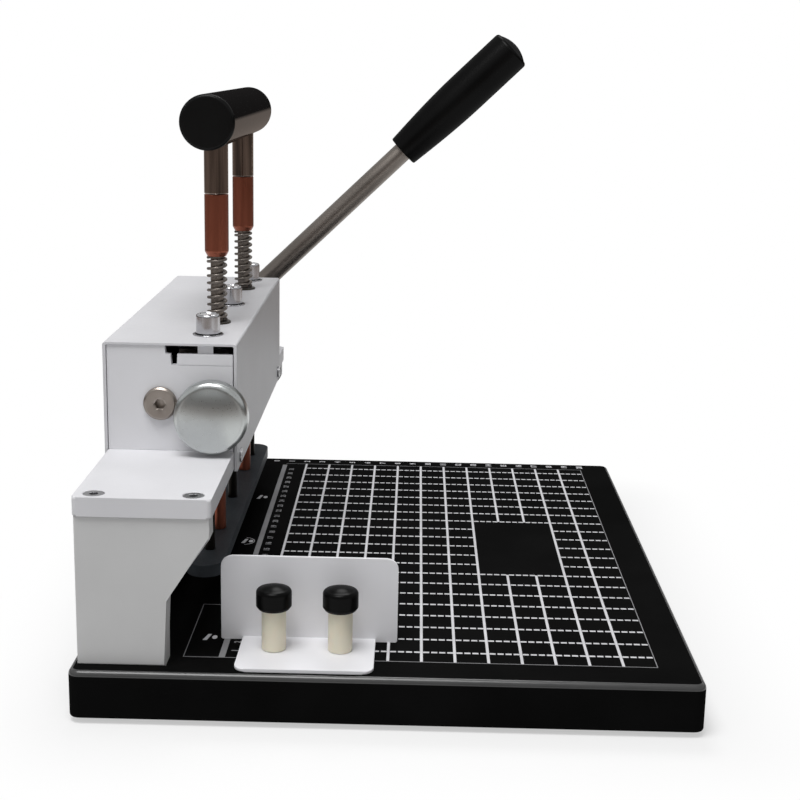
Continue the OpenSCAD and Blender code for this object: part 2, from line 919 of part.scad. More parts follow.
module lever_hub() {
    shoulder_y = far_end_y + bush_flange + gap;
    color("#3c3d3f")
        difference() {
            union() {
                translate([shaft_x, hub_y, shaft_z])
                    y_cylinder(2 * hub_r, hub_len);
                translate([shaft_x, shoulder_y, shaft_z])
                    y_cylinder(shaft_d + 7, hub_y - shoulder_y + eps);
            }
            translate([shaft_x, shoulder_y - eps, shaft_z])
                y_cylinder(shaft_d + fit_c, hub_len + 10);
            along_lever()
                translate([0, 0, lever_seat])
                    cylinder(d = lever_d + fit_c, h = hub_r);
            along_lever()
                translate([0, 0, -hub_r - 2])
                    cylinder(d = 5 + fit_c, h = hub_r + 2);
        }
}

module hub_grub_screw() {
    color("#56585a")
        along_lever()
            difference() {
                translate([0, 0, -hub_r + 0.6])
                    cylinder(d = 5, h = hub_r - 0.6 - shaft_d / 2 - fit_c);
                translate([0, 0, -hub_r])
                    cylinder(d = 2.9, h = 3, $fn = 6);
            }
}

module shaft_end_screw() {
    head_d = shaft_d + 4;
    color("#b7b5b0")
        translate([shaft_x, shaft_near_y, shaft_z])
            difference() {
                union() {
                    translate([0, -1.6, 0])
                        y_cylinder(head_d, 1.6);
                    translate([0, -2.6, 0])
                        rotate([-90, 0, 0])
                            cylinder(d1 = head_d - 2, d2 = head_d, h = 1);
                    y_cylinder(end_screw_d, end_screw_len);
                }
                translate([0, -2.6 - eps, 0])
                    rotate([-90, 0, 0])
                        cylinder(d = 6.7, h = 2.2 + eps, $fn = 6);
            }
}

module lever_rod() {
    color("#b0aeaa")
        along_lever()
            translate([0, 0, lever_seat])
                cylinder(d = lever_d, h = grip_start + grip_bore - lever_seat);
}

module lever_grip() {
    steps = 8;
    edge = 2;
    dome = 3;
    r = grip_d / 2;
    low_r = grip_low_d / 2;
    bore_r = (lever_d + fit_c) / 2;
    swell = [
        for (i = [0:steps])
            [low_r + (r - low_r) * sin(90 * min(1, i / 5)), (grip_len - edge) * i / steps]
    ];
    corner = [for (a = [30:30:90]) [r - edge * (1 - cos(a)), grip_len - edge * (1 - sin(a))]];
    crown = [
        for (i = [1:5])
            let (x = (r - edge) * (1 - i / 5))
            [x, grip_len + dome * (1 - pow(x / (r - edge), 2))]
    ];
    color("#17181a")
        along_lever()
            translate([0, 0, grip_start])
                rotate_extrude()
                    polygon(concat([[bore_r, 0], [low_r - 0.6, 0]], [[low_r, 0.6]],
                        [for (i = [1:steps]) swell[i]], corner, crown,
                        [[0, grip_bore], [bore_r, grip_bore]]));
}

// Punch carrier

function rack_tooth_z(k) = shaft_z + (k + 0.5) * tooth_pitch;

module rack_outline() {
    half = tooth_pitch / 4 - backlash / 4;
    root_half = half + 1.25 * gear_m * tan(20);
    tip_half = half - 0.9 * gear_m * tan(20);
    root_x = rack_x + 1.25 * gear_m;
    tip_x = rack_x - 0.9 * gear_m;
    last = floor((carrier_h - rack_low - root_half) / tooth_pitch - 0.5);
    polygon(concat(
        [[rack_back_x, carrier_z], [rack_back_x, carrier_top], [root_x, carrier_top]],
        [
            for (k = [last:-1:-1])
                for (p = [[root_x, root_half], [tip_x, tip_half], [tip_x, -tip_half], [root_x, -root_half]])
                    [p[0], rack_tooth_z(k) + p[1]]
        ],
        [[root_x, carrier_z]]
    ));
}

module racks() {
    color("#7e8083")
        for (y = pinion_ys)
            difference() {
                translate([0, y - rack_w / 2, 0])
                    xz_extrude(rack_w)
                        rack_outline();
                for (k = rack_screw_ks)
                    translate([rack_back_x - 3.5, y, rack_tooth_z(k)])
                        x_cylinder(rack_screw_d + fit_c, 3.5 + eps);
            }
}

module rack_screws() {
    color("#56585a")
        for (y = pinion_ys)
            for (k = rack_screw_ks)
                translate([rack_back_x - 3, y, rack_tooth_z(k)]) {
                    x_cylinder(rack_screw_d, carrier_x1 - 3 - rack_back_x + 3);
                    translate([carrier_x1 - 3 - rack_back_x + 3, 0, 0])
                        x_cylinder(5.5, 2.8);
                }
}

module carrier_bar() {
    color("#d9dadc")
        difference() {
            translate([carrier_x0, carrier_y0, carrier_z])
                cube([carrier_w, carrier_y1 - carrier_y0, carrier_h]);
            for (y = punch_ys)
                translate([tool_x, y, carrier_z - eps]) {
                    cylinder(d = punch_d + fit_c, h = carrier_h);
                    translate([0, 0, punch_seat_z - carrier_z + eps])
                        cylinder(d = punch_head_d + fit_c, h = carrier_h);
                }
            for (y = rod_ys)
                translate([tool_x, y, carrier_z - eps])
                    cylinder(d = rod_d + loose_c, h = carrier_h + 2 * eps);
            for (y = post_ys)
                translate([tool_x, y, carrier_z - eps]) {
                    cylinder(d = post_d + run_c, h = carrier_h + 2 * eps);
                    cylinder(d = spring_pocket_d, h = spring_pocket_h + eps);
                }
            for (y = pinion_ys) {
                translate([carrier_x0 - eps, y - pinion_w / 2 - 0.6, carrier_z - eps])
                    cube([rack_back_x - carrier_x0 + eps, pinion_w + 1.2, carrier_h + 2 * eps]);
                for (k = rack_screw_ks)
                    translate([rack_back_x - eps, y, rack_tooth_z(k)]) {
                        x_cylinder(rack_screw_d + fit_c, carrier_w);
                        translate([carrier_x1 - 3 - rack_back_x + eps, 0, 0])
                            x_cylinder(5.5 + fit_c, 4);
                    }
            }
            translate([knob_x - lug_w / 2 - fit_c, carrier_y0 - eps, lug_z - fit_c])
                cube([lug_w + 2 * fit_c, lug_seat + eps, lug_t + 2 * fit_c]);
        }
}

module punches() {
    color("#c9cbcd")
        for (y = punch_ys)
            translate([tool_x, y, 0])
                difference() {
                    union() {
                        translate([0, 0, punch_tip_z])
                            cylinder(d = punch_d, h = punch_seat_z - punch_tip_z + eps);
                        translate([0, 0, punch_seat_z])
                            cylinder(d = punch_head_d, h = punch_head_h);
                    }
                    translate([0, 0, punch_tip_z - eps])
                        cylinder(d = punch_d - 1.4, h = punch_bore_h + eps);
                }
}

module clamp_screws() {
    shank_z = punch_seat_z + punch_head_h;
    color("#c6c7c9")
        for (y = punch_ys)
            translate([tool_x, y, 0])
                difference() {
                    union() {
                        translate([0, 0, shank_z])
                            cylinder(d = punch_head_d, h = clamp_head_z - shank_z + eps);
                        translate([0, 0, clamp_head_z])
                            cylinder(d = clamp_head_d, h = clamp_head_h - 0.6);
                        translate([0, 0, clamp_head_z + clamp_head_h - 0.6])
                            cylinder(d1 = clamp_head_d, d2 = clamp_head_d - 1.2, h = 0.6);
                    }
                    translate([0, 0, clamp_head_z + clamp_head_h - 0.5])
                        cylinder(d = clamp_head_d - 4.2, h = 0.5 + eps);
                }
}

module stop_lug() {
    color("#7e8083")
        translate([knob_x - lug_w / 2, carrier_y0 - lug_seat - 0.6, lug_z])
            cube([lug_w, 2 * lug_seat + 0.6 - slide_gap, lug_t]);
}

// Paper press

module handle_bar() {
    color("#141516")
        difference() {
            translate([tool_x, bar_y0 + bar_cap_t, bar_z])
                y_cylinder(bar_d, bar_len - 2 * bar_cap_t);
            for (y = [bar_y0, bar_y0 + bar_len - 12])
                translate([tool_x, y, bar_z])
                    y_cylinder(bar_bore_d, 12);
            for (y = rod_ys)
                translate([tool_x, y, bar_z - bar_d])
                    cylinder(d = sleeve_d + fit_c, h = bar_d - 3);
        }
}

module handle_caps() {
    color("#232425")
        for (end = [0, 1])
            translate([tool_x, end * bar_len + bar_y0, bar_z])
                mirror([0, end, 0]) {
                    rotate([-90, 0, 0])
                        cylinder(d1 = bar_d - 1.6, d2 = bar_d, h = 0.8);
                    translate([0, 0.8, 0])
                        y_cylinder(bar_d, bar_cap_t - 0.8);
                    translate([0, bar_cap_t, 0])
                        y_cylinder(bar_bore_d - fit_c, 6);
                }
}

module press_rods() {
    color("#b5b6b8")
        for (y = rod_ys)
            translate([tool_x, y, press_top_z])
                difference() {
                    cylinder(d = rod_d, h = bar_z - 4 - press_top_z);
                    translate([0, 0, -eps])
                        cylinder(d = press_screw_d + fit_c, h = 11 + eps);
                }
}

module bright_sleeves() {
    color("#d3d3d2")
        for (y = rod_ys)
            translate([tool_x, y, bright_z])
                ring(sleeve_d, rod_d + fit_c, bar_z - 3 - bright_z);
}

module copper_sleeves() {
    chamfer = 1.2;
    color("#9a5a3c")
        for (y = rod_ys)
            translate([tool_x, y, copper_z])
                difference() {
                    union() {
                        cylinder(d1 = sleeve_d - 2 * chamfer, d2 = sleeve_d, h = chamfer);
                        translate([0, 0, chamfer])
                            cylinder(d = sleeve_d, h = copper_len - chamfer);
                    }
                    translate([0, 0, -eps])
                        cylinder(d = rod_d + fit_c, h = copper_len + 2 * eps);
                }
}

module low_copper_sleeves() {
    color("#9a5a3c")
        for (y = rod_ys)
            translate([tool_x, y, press_top_z])
                ring(low_sleeve_d, rod_d + fit_c, low_sleeve_h);
}

module press_plate() {
    color("#3a3b3d")
        difference() {
            translate([tool_x, tool_y, press_z])
                linear_extrude(press_t) {
                    square([press_w, press_len - press_w], center = true);
                    for (side = [-1, 1])
                        translate([0, side * (press_len - press_w) / 2])
                            circle(d = press_w);
                }
            for (y = punch_ys)
                translate([tool_x, y, press_z - eps])
                    cylinder(d = punch_d + loose_c, h = press_t + 2 * eps);
            for (y = rod_ys)
                translate([tool_x, y, press_z - eps]) {
                    cylinder(d = press_screw_d + fit_c, h = press_t + 2 * eps);
                    translate([0, 0, eps])
                        cylinder(d1 = 8 + fit_c, d2 = press_screw_d + fit_c, h = 2);
                }
        }
}

module press_plate_screws() {
    color("#a6a8ab")
        for (y = rod_ys)
            translate([tool_x, y, press_z])
                difference() {
                    union() {
                        cylinder(d1 = 8, d2 = press_screw_d, h = 2);
                        cylinder(d = press_screw_d, h = press_t + 10);
                    }
                    translate([0, 0, -eps])
                        cylinder(d = 2.9, h = 1.5 + eps, $fn = 6);
                }
}

// Depth knob

module depth_knob() {
    rim = 3;
    dome = 2;
    r = knob_d / 2;
    bore_r = (cam_stub_d + fit_c) / 2;
    back = [for (a = [-90:30:0]) [r - 1.5 + 1.5 * cos(a), 1.5 + 1.5 * sin(a)]];
    front = [for (a = [0:15:90]) [r - rim + rim * cos(a), knob_t - dome - rim + rim * sin(a)]];
    crown = [
        for (i = [1:5])
            let (x = (r - rim) * (1 - i / 5))
            [x, knob_t - dome * pow(x / (r - rim), 2)]
    ];
    color("#c9c7c4")
        translate([knob_x, knob_back_y, knob_z])
            rotate([90, 0, 0])
                rotate_extrude()
                    polygon(concat([[bore_r, -knob_neck], [6, -knob_neck], [6, 0]], back, front, crown,
                        [[0, knob_bore - knob_neck], [bore_r, knob_bore - knob_neck]]));
}

module depth_cam() {
    stub_y = knob_neck_y - knob_bore;
    cam_y = near_in_y + 0.4;
    color("#85878a") {
        translate([knob_x, stub_y, knob_z])
            y_cylinder(cam_stub_d, cam_y + eps - stub_y);
        translate([knob_x, cam_y, knob_z + cam_shift])
            y_cylinder(2 * cam_r, 6);
    }
}

// Side guide and its screws

module guide_plate_outline() {
    translate([-guide_w / 2, 0])
        square([guide_w, guide_h - guide_r]);
    translate([-guide_w / 2 + guide_r, 0])
        square([guide_w - 2 * guide_r, guide_h]);
    for (side = [-1, 1])
        translate([side * (guide_w / 2 - guide_r), guide_h - guide_r])
            circle(guide_r);
}

module guide_foot_outline() {
    translate([-guide_foot_w / 2, -guide_foot_d + guide_r])
        square([guide_foot_w, guide_foot_d - guide_r + eps]);
    translate([-guide_foot_w / 2 + guide_r, -guide_foot_d])
        square([guide_foot_w - 2 * guide_r, guide_foot_d]);
    for (side = [-1, 1])
        translate([side * (guide_foot_w / 2 - guide_r), -guide_foot_d + guide_r])
            circle(guide_r);
}

module side_guide() {
    color("#eef0f2")
        translate([guide_x, guide_y, guide_z])
            difference() {
                union() {
                    xz_extrude(guide_t)
                        guide_plate_outline();
                    linear_extrude(guide_t)
                        guide_foot_outline();
                }
                for (side = [-1, 1])
                    translate([side * guide_pitch / 2, guide_screw_y - guide_y, -eps])
                        cylinder(d = stud_d + loose_c, h = guide_t + 2 * eps);
            }
}

module guide_nuts() {
    color("#85878a")
        for (side = [-1, 1])
            translate([guide_x + side * guide_pitch / 2, guide_screw_y, nut_z])
                difference() {
                    translate([-nut_w / 2, -nut_w / 2, 0])
                        cube([nut_w, nut_w, nut_t]);
                    translate([0, 0, -eps])
                        cylinder(d = stud_d + run_c, h = nut_t + 2 * eps);
                }
}

module screw_cap() {
    edge = 1;
    shoulder = cap_h - 3.6;
    dome = [
        for (a = [0:15:90])
            [cap_d / 2 * cos(a), shoulder + 3.6 * sin(a)]
    ];
    bore_r = (stud_d + fit_c) / 2;
    rotate_extrude()
        polygon(concat([[bore_r, 0], [cap_d / 2 - edge, 0], [cap_d / 2, edge]], dome,
            [[0, 7], [bore_r, 7]]));
}

// One of the two guide screws: its cap, its nylon stem and its steel stud
module place_screw(side, z) {
    translate([guide_x + side * guide_pitch / 2, guide_screw_y, z])
        children();
}

module left_screw_cap() {
    color("#18191a")
        place_screw(-1, cap_z)
            screw_cap();
}

module right_screw_cap() {
    color("#18191a")
        place_screw(1, cap_z)
            screw_cap();
}

module left_screw_stem() {
    color("#e6dcc0")
        place_screw(-1, stem_z)
            ring(stem_d, stud_d + fit_c, stem_h);
}

module right_screw_stem() {
    color("#e6dcc0")
        place_screw(1, stem_z)
            ring(stem_d, stud_d + fit_c, stem_h);
}

module left_screw_stud() {
    color("#a6a8ab")
        place_screw(-1, nut_z - 1)
            cylinder(d = stud_d, h = cap_z + 6.9 - nut_z + 1);
}

module right_screw_stud() {
    color("#a6a8ab")
        place_screw(1, nut_z - 1)
            cylinder(d = stud_d, h = cap_z + 6.9 - nut_z + 1);
}

base_tray();
bottom_plate();
rubber_feet();
bottom_screws();
cutting_pad();
pad_support();
near_side_plate();
far_side_plate();
side_plate_bolts();
bridge_plate();
bridge_screws();
near_end_plate();
far_end_plate();
end_plate_screws();
head_cover();
cover_screws();
cover_eyelets();
spring_seats();
shaft_bushes();
knob_bush();
punch_bushes();
rod_bushes();
guide_posts();
back_stop();
back_stop_screws();
press_springs();
return_springs();
main_shaft();
pinions();
pinion_pins();
lever_hub();
hub_grub_screw();
shaft_end_screw();
lever_rod();
lever_grip();
carrier_bar();
racks();
rack_screws();
punches();
clamp_screws();
stop_lug();
handle_bar();
handle_caps();
press_rods();
bright_sleeves();
copper_sleeves();
low_copper_sleeves();
press_plate();
press_plate_screws();
depth_knob();
depth_cam();
side_guide();
guide_nuts();
left_screw_cap();
left_screw_stem();
left_screw_stud();
right_screw_cap();
right_screw_stem();
right_screw_stud();
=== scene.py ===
"""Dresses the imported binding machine: rounded plate and sheet work, turned and sprung metal,
the ruled print on its base, procedural materials, soft studio light and the photograph's camera.

Blender works in metres. The numbers here are millimetres, in the frame of the solids, up to the section
on the floor, light and camera. Places and main sizes are read from the boxes of the CAD nodes, so the
pieces follow the solids."""

import json
import math

import bmesh
import bpy
from mathutils import Matrix, Vector


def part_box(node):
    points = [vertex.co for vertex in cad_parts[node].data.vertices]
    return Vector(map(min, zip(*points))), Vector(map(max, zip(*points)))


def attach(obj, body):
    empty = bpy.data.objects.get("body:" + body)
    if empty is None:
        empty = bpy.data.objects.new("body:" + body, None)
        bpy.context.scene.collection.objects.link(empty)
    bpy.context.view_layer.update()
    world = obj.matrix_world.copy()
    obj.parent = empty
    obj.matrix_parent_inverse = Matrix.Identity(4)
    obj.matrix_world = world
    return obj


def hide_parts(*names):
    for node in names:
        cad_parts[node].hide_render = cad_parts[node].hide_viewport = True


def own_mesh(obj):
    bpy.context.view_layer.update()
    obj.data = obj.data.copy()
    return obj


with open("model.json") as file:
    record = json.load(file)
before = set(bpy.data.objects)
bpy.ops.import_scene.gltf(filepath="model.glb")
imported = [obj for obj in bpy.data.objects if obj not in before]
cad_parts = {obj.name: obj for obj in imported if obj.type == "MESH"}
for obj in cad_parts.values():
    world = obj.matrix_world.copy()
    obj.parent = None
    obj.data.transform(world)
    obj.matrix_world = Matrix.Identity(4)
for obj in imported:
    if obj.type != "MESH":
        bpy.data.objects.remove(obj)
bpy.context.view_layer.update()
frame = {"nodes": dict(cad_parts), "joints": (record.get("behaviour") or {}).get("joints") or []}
scene = bpy.context.scene
MM = 0.001


# Sizes and places, from the solids

class Box:
    """The box of a CAD node: its corners, its middle and its sizes."""

    def __init__(self, node):
        low, high = (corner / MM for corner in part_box(node))
        self.x0, self.y0, self.z0 = low
        self.x1, self.y1, self.z1 = high
        self.x, self.y, self.z = (low + high) / 2
        self.w, self.d, self.h = high - low

    def row(self, count):
        """The places along Y of a row of round pieces, each as wide as the box."""
        first, last = self.y0 + self.w / 2, self.y1 - self.w / 2
        return [first + (last - first) * i / (count - 1) for i in range(count)]

    def corners(self, inset):
        """Four places in plan, at an inset from the box's upright edges."""
        xs, ys = (self.x0 + inset, self.x1 - inset), (self.y0 + inset, self.y1 - inset)
        return [(x, y) for x in xs for y in ys]


def along(node, origin, axis):
    """How far a CAD node reaches along an axis, from a point."""
    reach = [(v.co / MM - origin).dot(axis) for v in frame["nodes"][node].data.vertices]
    return min(reach), max(reach)


BASE, PAD = Box("base_tray"), Box("cutting_pad")
BRIDGE, COVER = Box("bridge_plate"), Box("head_cover")
CLAMPS, RODS, POSTS = Box("clamp_screws"), Box("press_rods"), Box("guide_posts")
SHAFT, KNOB = Box("main_shaft"), Box("depth_knob")
GUIDE = Box("side_guide")
STUDS = {side: Box(side + "_screw_stud") for side in ("left", "right")}
TOOL_X = RODS.x
PUNCH_YS, ROD_YS, POST_YS = CLAMPS.row(3), RODS.row(2), POSTS.row(2)
TRAVEL = {j["name"]: j["range_m"][1] / MM for j in frame["joints"] if "range_m" in j}
# Room between pieces that fit, on the radius
FIT = 0.01
# How far a cutting tool reaches past the piece that it cuts
PAST = 2.0


# Shader helpers

def ranged(nodes, links, value, span, result, interpolation="LINEAR"):
    """Maps a socket's value from one span of numbers to another."""
    node = nodes.new("ShaderNodeMapRange")
    node.interpolation_type = interpolation
    for socket, number in zip(("From Min", "From Max", "To Min", "To Max"), (*span, *result)):
        node.inputs[socket].default_value = number
    links.new(value, node.inputs["Value"])
    return node.outputs["Result"]


def noise(nodes, links, vector, scale, detail):
    """A noise texture's value."""
    node = nodes.new("ShaderNodeTexNoise")
    node.inputs["Scale"].default_value = scale
    node.inputs["Detail"].default_value = detail
    links.new(vector, node.inputs["Vector"])
    return node.outputs["Fac"]


def ramp(nodes, links, value, stops):
    """The colour at a value, between stops of (position, colour)."""
    node = nodes.new("ShaderNodeValToRGB")
    elements = node.color_ramp.elements
    while len(elements) < len(stops):
        elements.new(0.5)
    for element, (position, colour) in zip(elements, stops):
        element.position = position
        element.color = (*colour, 1)
    links.new(value, node.inputs["Fac"])
    return node.outputs["Color"]


# Materials

FINISHES = {}
# The stretch of a noise's values that two tones, or two degrees of gloss, are spread over
TONE_LOW, TONE_HIGH = 0.32, 0.68
GRAIN_SPAN = (0.3, 0.7)
# The depth of a grain's relief
RELIEF = 0.05


def shader(name, dark, light, rough, metallic=0.0, specular=0.5, patch=30.0, grain=900.0,
           stretch=(1, 1, 1), streaked=False, bump=0.1, **constants):
    """A procedural finish: its colour drifts between two tones in patches of a few millimetres or more,
    and a fine grain, which stretch draws out along an axis, varies its gloss and its relief. The patches
    are drawn out too if it is streaked."""
    mat = bpy.data.materials.new(name)
    mat.use_nodes = True
    nodes, links = mat.node_tree.nodes, mat.node_tree.links
    bsdf = nodes["Principled BSDF"]
    bsdf.inputs["Metallic"].default_value = metallic
    bsdf.inputs["Specular IOR Level"].default_value = specular
    for socket, value in constants.items():
        bsdf.inputs[socket.replace("_", " ")].default_value = value
    place = nodes.new("ShaderNodeTexCoord").outputs["Object"]
    mapping = nodes.new("ShaderNodeMapping")
    mapping.inputs["Scale"].default_value = stretch
    links.new(place, mapping.inputs["Vector"])
    drawn = mapping.outputs["Vector"]

    cloud = noise(nodes, links, drawn if streaked else place, patch, detail=5)
    tone = ramp(nodes, links, cloud, [(TONE_LOW, dark), (TONE_HIGH, light)])
    links.new(tone, bsdf.inputs["Base Color"])

    fine = noise(nodes, links, drawn, grain, detail=3)
    links.new(ranged(nodes, links, fine, GRAIN_SPAN, rough), bsdf.inputs["Roughness"])
    relief = nodes.new("ShaderNodeBump")
    relief.inputs["Strength"].default_value = bump
    relief.inputs["Distance"].default_value = RELIEF * MM
    links.new(fine, relief.inputs["Height"])
    links.new(relief.outputs["Normal"], bsdf.inputs["Normal"])
    FINISHES[name] = mat


PLAIN = (1, 1, 1)
COOL = (0.97, 0.968, 1.0)
WARM = (1.0, 0.89, 0.8)
GREEN = (0.96, 1.0, 0.99)
BROWN = (1.0, 0.82, 0.72)
UPRIGHT_GRAIN = (1, 1, 0.05)


def grey(value, tint=PLAIN):
    """A grey of a value, with a tint."""
    return tuple(value * t for t in tint)


def paint(name, low, high, tint=COOL, rough=(0.34, 0.5), specular=0.35, bump=0.16):
    """A sprayed paint with a fine peel."""
    shader(name, grey(low, tint), grey(high, tint), rough, specular=specular, patch=16, grain=1100,
           bump=bump)


def black(name, low, high, sheen, sheen_rough, **rest):
    """A black finish, whose only gloss is a thin coat."""
    shader(name, grey(low), grey(high), (0.55, 0.75), specular=0.0, Coat_Weight=sheen,
           Coat_Roughness=sheen_rough, **rest)


def metal(name, low, high, tint, rough, **rest):
    """A bare or plated metal."""
    shader(name, grey(low, tint), grey(high, tint), rough, metallic=1.0, **rest)


def ink(name, low, high, patch):
    """A printed line."""
    shader(name, grey(low, COOL), grey(high, COOL), (0.5, 0.65), specular=0.1, patch=patch, grain=1500,
           bump=0.05)


# One white paint in three copies: the cover's is darker, a painted shade, and the guide's lighter, painted
# light, to set how bright each piece looks
paint("white_paint", 0.71, 0.77)
paint("cover_paint_shaded", 0.61, 0.66)
paint("guide_paint_lit", 0.83, 0.88)
paint("casting_paint", 0.61, 0.67, PLAIN, (0.4, 0.55), specular=0.3, bump=0.2)
black("black_base", 0.0035, 0.0055, 0.02, 0.3, patch=22, grain=1500, bump=0.25)
# The tray's rounded edge: a real glossy coat on a black ten times lighter than the tray's, a painted
# highlight
black("black_edge_painted_highlight", 0.044, 0.054, 1.0, 0.26, patch=40, grain=1500, bump=0.12)
black("black_rubber", 0.008, 0.016, 0.05, 0.6, grain=1800)
black("black_nylon", 0.002, 0.004, 0.16, 0.3, grain=1600, bump=0.12)
black("black_cap", 0.0015, 0.003, 0.4, 0.28, grain=1600, bump=0.01, Coat_IOR=1.3)
black("black_gloss", 0.003, 0.005, 0.6, 0.06, patch=12, grain=500, bump=0.02)
black("black_matte", 0.004, 0.007, 0.2, 0.3, grain=1600)
metal("plain_steel", 0.29, 0.37, WARM, (0.28, 0.42), stretch=UPRIGHT_GRAIN, grain=1800, bump=0.06)
metal("zinc_steel", 0.34, 0.4, COOL, (0.24, 0.34), patch=60, grain=2600, bump=0.02)
metal("bright_zinc", 0.5, 0.56, COOL, (0.16, 0.22), patch=60, grain=2600, bump=0.004)
# The clamp screws' flat tops: a machined face, made near white as a painted highlight of the light above
metal("machined_face_painted_highlight", 0.88, 0.94, PLAIN, (0.36, 0.44), patch=60, grain=2600, bump=0.004)
metal("dark_steel", 0.05, 0.09, WARM, (0.3, 0.5), grain=1500, bump=0.08)
metal("black_steel", 0.012, 0.024, WARM, (0.3, 0.5), grain=1500, bump=0.08)
metal("lever_steel", 0.2, 0.25, WARM, (0.34, 0.42), patch=25, grain=2400, bump=0.02)
metal("spring_steel", 0.17, 0.24, WARM, (0.32, 0.44), patch=90, grain=2000, bump=0.04)
metal("chrome", 0.5, 0.58, GREEN, (0.27, 0.32), patch=40, grain=1600, bump=0.004)
# The bright sleeves: a metal that runs from near black to grey in long upright streaks, painted reflections
# of the room
metal("painted_streak_tube", 0.05, 0.28, BROWN, (0.08, 0.16), patch=260, stretch=UPRIGHT_GRAIN, streaked=True,
      grain=1500, bump=0.04)
shader("copper", (0.22, 0.064, 0.035), (0.31, 0.095, 0.056), (0.27, 0.36), 0.8, patch=180,
       stretch=UPRIGHT_GRAIN, streaked=True, grain=1200, bump=0.03)
shader("bronze", (0.32, 0.2, 0.08), (0.42, 0.28, 0.12), (0.3, 0.45), 1.0, grain=1200)
shader("dark_plate", (0.055, 0.062, 0.07), (0.075, 0.085, 0.095), (0.4, 0.55), specular=0.08,
       patch=40, grain=1200)
shader("cream_nylon", (0.76, 0.71, 0.57), (0.84, 0.79, 0.65), (0.4, 0.55), specular=0.3, patch=60,
       Subsurface_Weight=0.15, Subsurface_Scale=0.003)
ink("print_white", 0.6, 0.72, 60)
ink("print_grey", 0.24, 0.32, 40)


# Outlines and profiles

# Marks a point of a turned profile whose ring is six-sided
HEX = True
# Stands an outline of (x, z) points up, with its depth along +Y
UPRIGHT = Matrix(((1, 0, 0, 0), (0, 0, 1, 0), (0, 1, 0, 0), (0, 0, 0, 1)))


def quarter(steps):
    """The angles of a quarter turn."""
    return [math.pi / 2 * k / steps for k in range(steps + 1)]


def fillet(points, closed=False, steps=5):
    """A line of (x, y) or (x, y, radius) points, with the corners that have a radius rounded."""
    line = []
    for i, point in enumerate(points):
        corner = Vector(point[:2])
        radius = point[2] if len(point) > 2 else 0
        if not radius or (not closed and i in (0, len(points) - 1)):
            line.append(corner)
            continue
        back = (Vector(points[i - 1][:2]) - corner).normalized()
        ahead = (Vector(points[(i + 1) % len(points)][:2]) - corner).normalized()
        half = back.angle(ahead) / 2
        middle = corner + (back + ahead).normalized() * (radius / math.sin(half))
        start = corner + back * (radius / math.tan(half)) - middle
        end = corner + ahead * (radius / math.tan(half)) - middle
        first = math.atan2(start.y, start.x)
        sweep = math.remainder(math.atan2(end.y, end.x) - first, math.tau)
        for k in range(steps + 1):
            a = first + sweep * k / steps
            line.append(middle + radius * Vector((math.cos(a), math.sin(a))))
    return line


def rounded_rect(x0, y0, x1, y1, radius, steps=6):
    """A rectangle with four round corners."""
    return fillet([(x0, y0, radius), (x1, y0, radius), (x1, y1, radius), (x0, y1, radius)], True, steps)


def pin(radius, low, high):
    """The profile of a plain round bar."""
    return [(0, low), (radius, low), (radius, high), (0, high)]


def crown(radius, top, rise, steps):
    """The profile of a low dome, from its rim to its tip."""
    return [(radius * (1 - k / steps), top - rise * (1 - k / steps) ** 2) for k in range(steps + 1)]


def at(x, y, z=0.0):
    """Moves a mesh to a place."""
    return Matrix.Translation((x, y, z))


def towards(origin, direction):
    """Places local z along a direction."""
    return Matrix.Translation(origin) @ Vector(direction).to_track_quat("Z", "Y").to_matrix().to_4x4()


# Meshes

# Edges that turn by fewer degrees than this are shaded round
ROUND_UNDER = 32
# Upright edges of a prism that turn by more radians than this are corners, not steps of an arc
CORNER_OVER = 0.6


def bridge(bm, rings, loop=False):
    """Faces between neighbouring rings of points; a ring of one point closes to a tip."""
    for low, high in zip(rings, rings[1:] + (rings[:1] if loop else [])):
        for i in range(max(len(low), len(high))):
            j = i + 1
            corners = [low[i % len(low)], low[j % len(low)], high[j % len(high)], high[i % len(high)]]
            bm.faces.new(list(dict.fromkeys(corners)))


def lathe(bm, profile, place=Matrix(), sides=64, loop=False):
    """Turns (radius, z) or (radius, z, HEX) points round the z axis."""
    rings = []
    for radius, z, *hexagon in profile:
        ring = []
        for i in range(sides if radius else 1):
            a = math.tau * i / sides
            r = radius / math.cos(a % (math.pi / 3) - math.pi / 6) if hexagon else radius
            ring.append(bm.verts.new(place @ Vector((r * math.cos(a), r * math.sin(a), z))))
        rings.append(ring)
    bridge(bm, rings, loop)
    return bm


def prism(bm, outline, low, high, place=Matrix(), edge=0.0, steps=3, sides=False):
    """A closed prism on an outline; edge rounds its rims, and its upright corners too if sides is set."""
    rings = [[bm.verts.new(place @ Vector((p[0], p[1], z))) for p in outline] for z in (low, high)]
    made = [bm.faces.new(rings[0][::-1]), bm.faces.new(rings[1])]
    bridge(bm, rings)
    if edge:
        rims = {e for face in made for e in face.edges}
        if sides:
            rims |= {e for v in rings[0] for e in v.link_edges if e.calc_face_angle(0) > CORNER_OVER}
        bmesh.ops.bevel(bm, geom=list(rims), offset=edge, segments=steps, profile=0.5, affect="EDGES")
    return bm


def tool_row(ys):
    """Places in plan along the row of punches and rods."""
    return [(TOOL_X, y) for y in ys]


def turned_row(profile, ys, sides=64, loop=False):
    """The same turned piece at each place of the row."""
    bm = bmesh.new()
    for x, y in tool_row(ys):
        lathe(bm, profile, at(x, y), sides, loop)
    return bm


def drills(low, high, *rows):
    """Upright cutting pins of (radius, places)."""
    bm = bmesh.new()
    for radius, places in rows:
        for x, y in places:
            lathe(bm, pin(radius, low, high), at(x, y), 48)
    return bm


def raw_object(name, bm):
    """Makes a mesh an object of the scene."""
    bmesh.ops.recalc_face_normals(bm, faces=bm.faces)
    mesh = bpy.data.meshes.new(name)
    bm.to_mesh(mesh)
    bm.free()
    made = bpy.data.objects.new(name, mesh)
    scene.collection.objects.link(made)
    return made


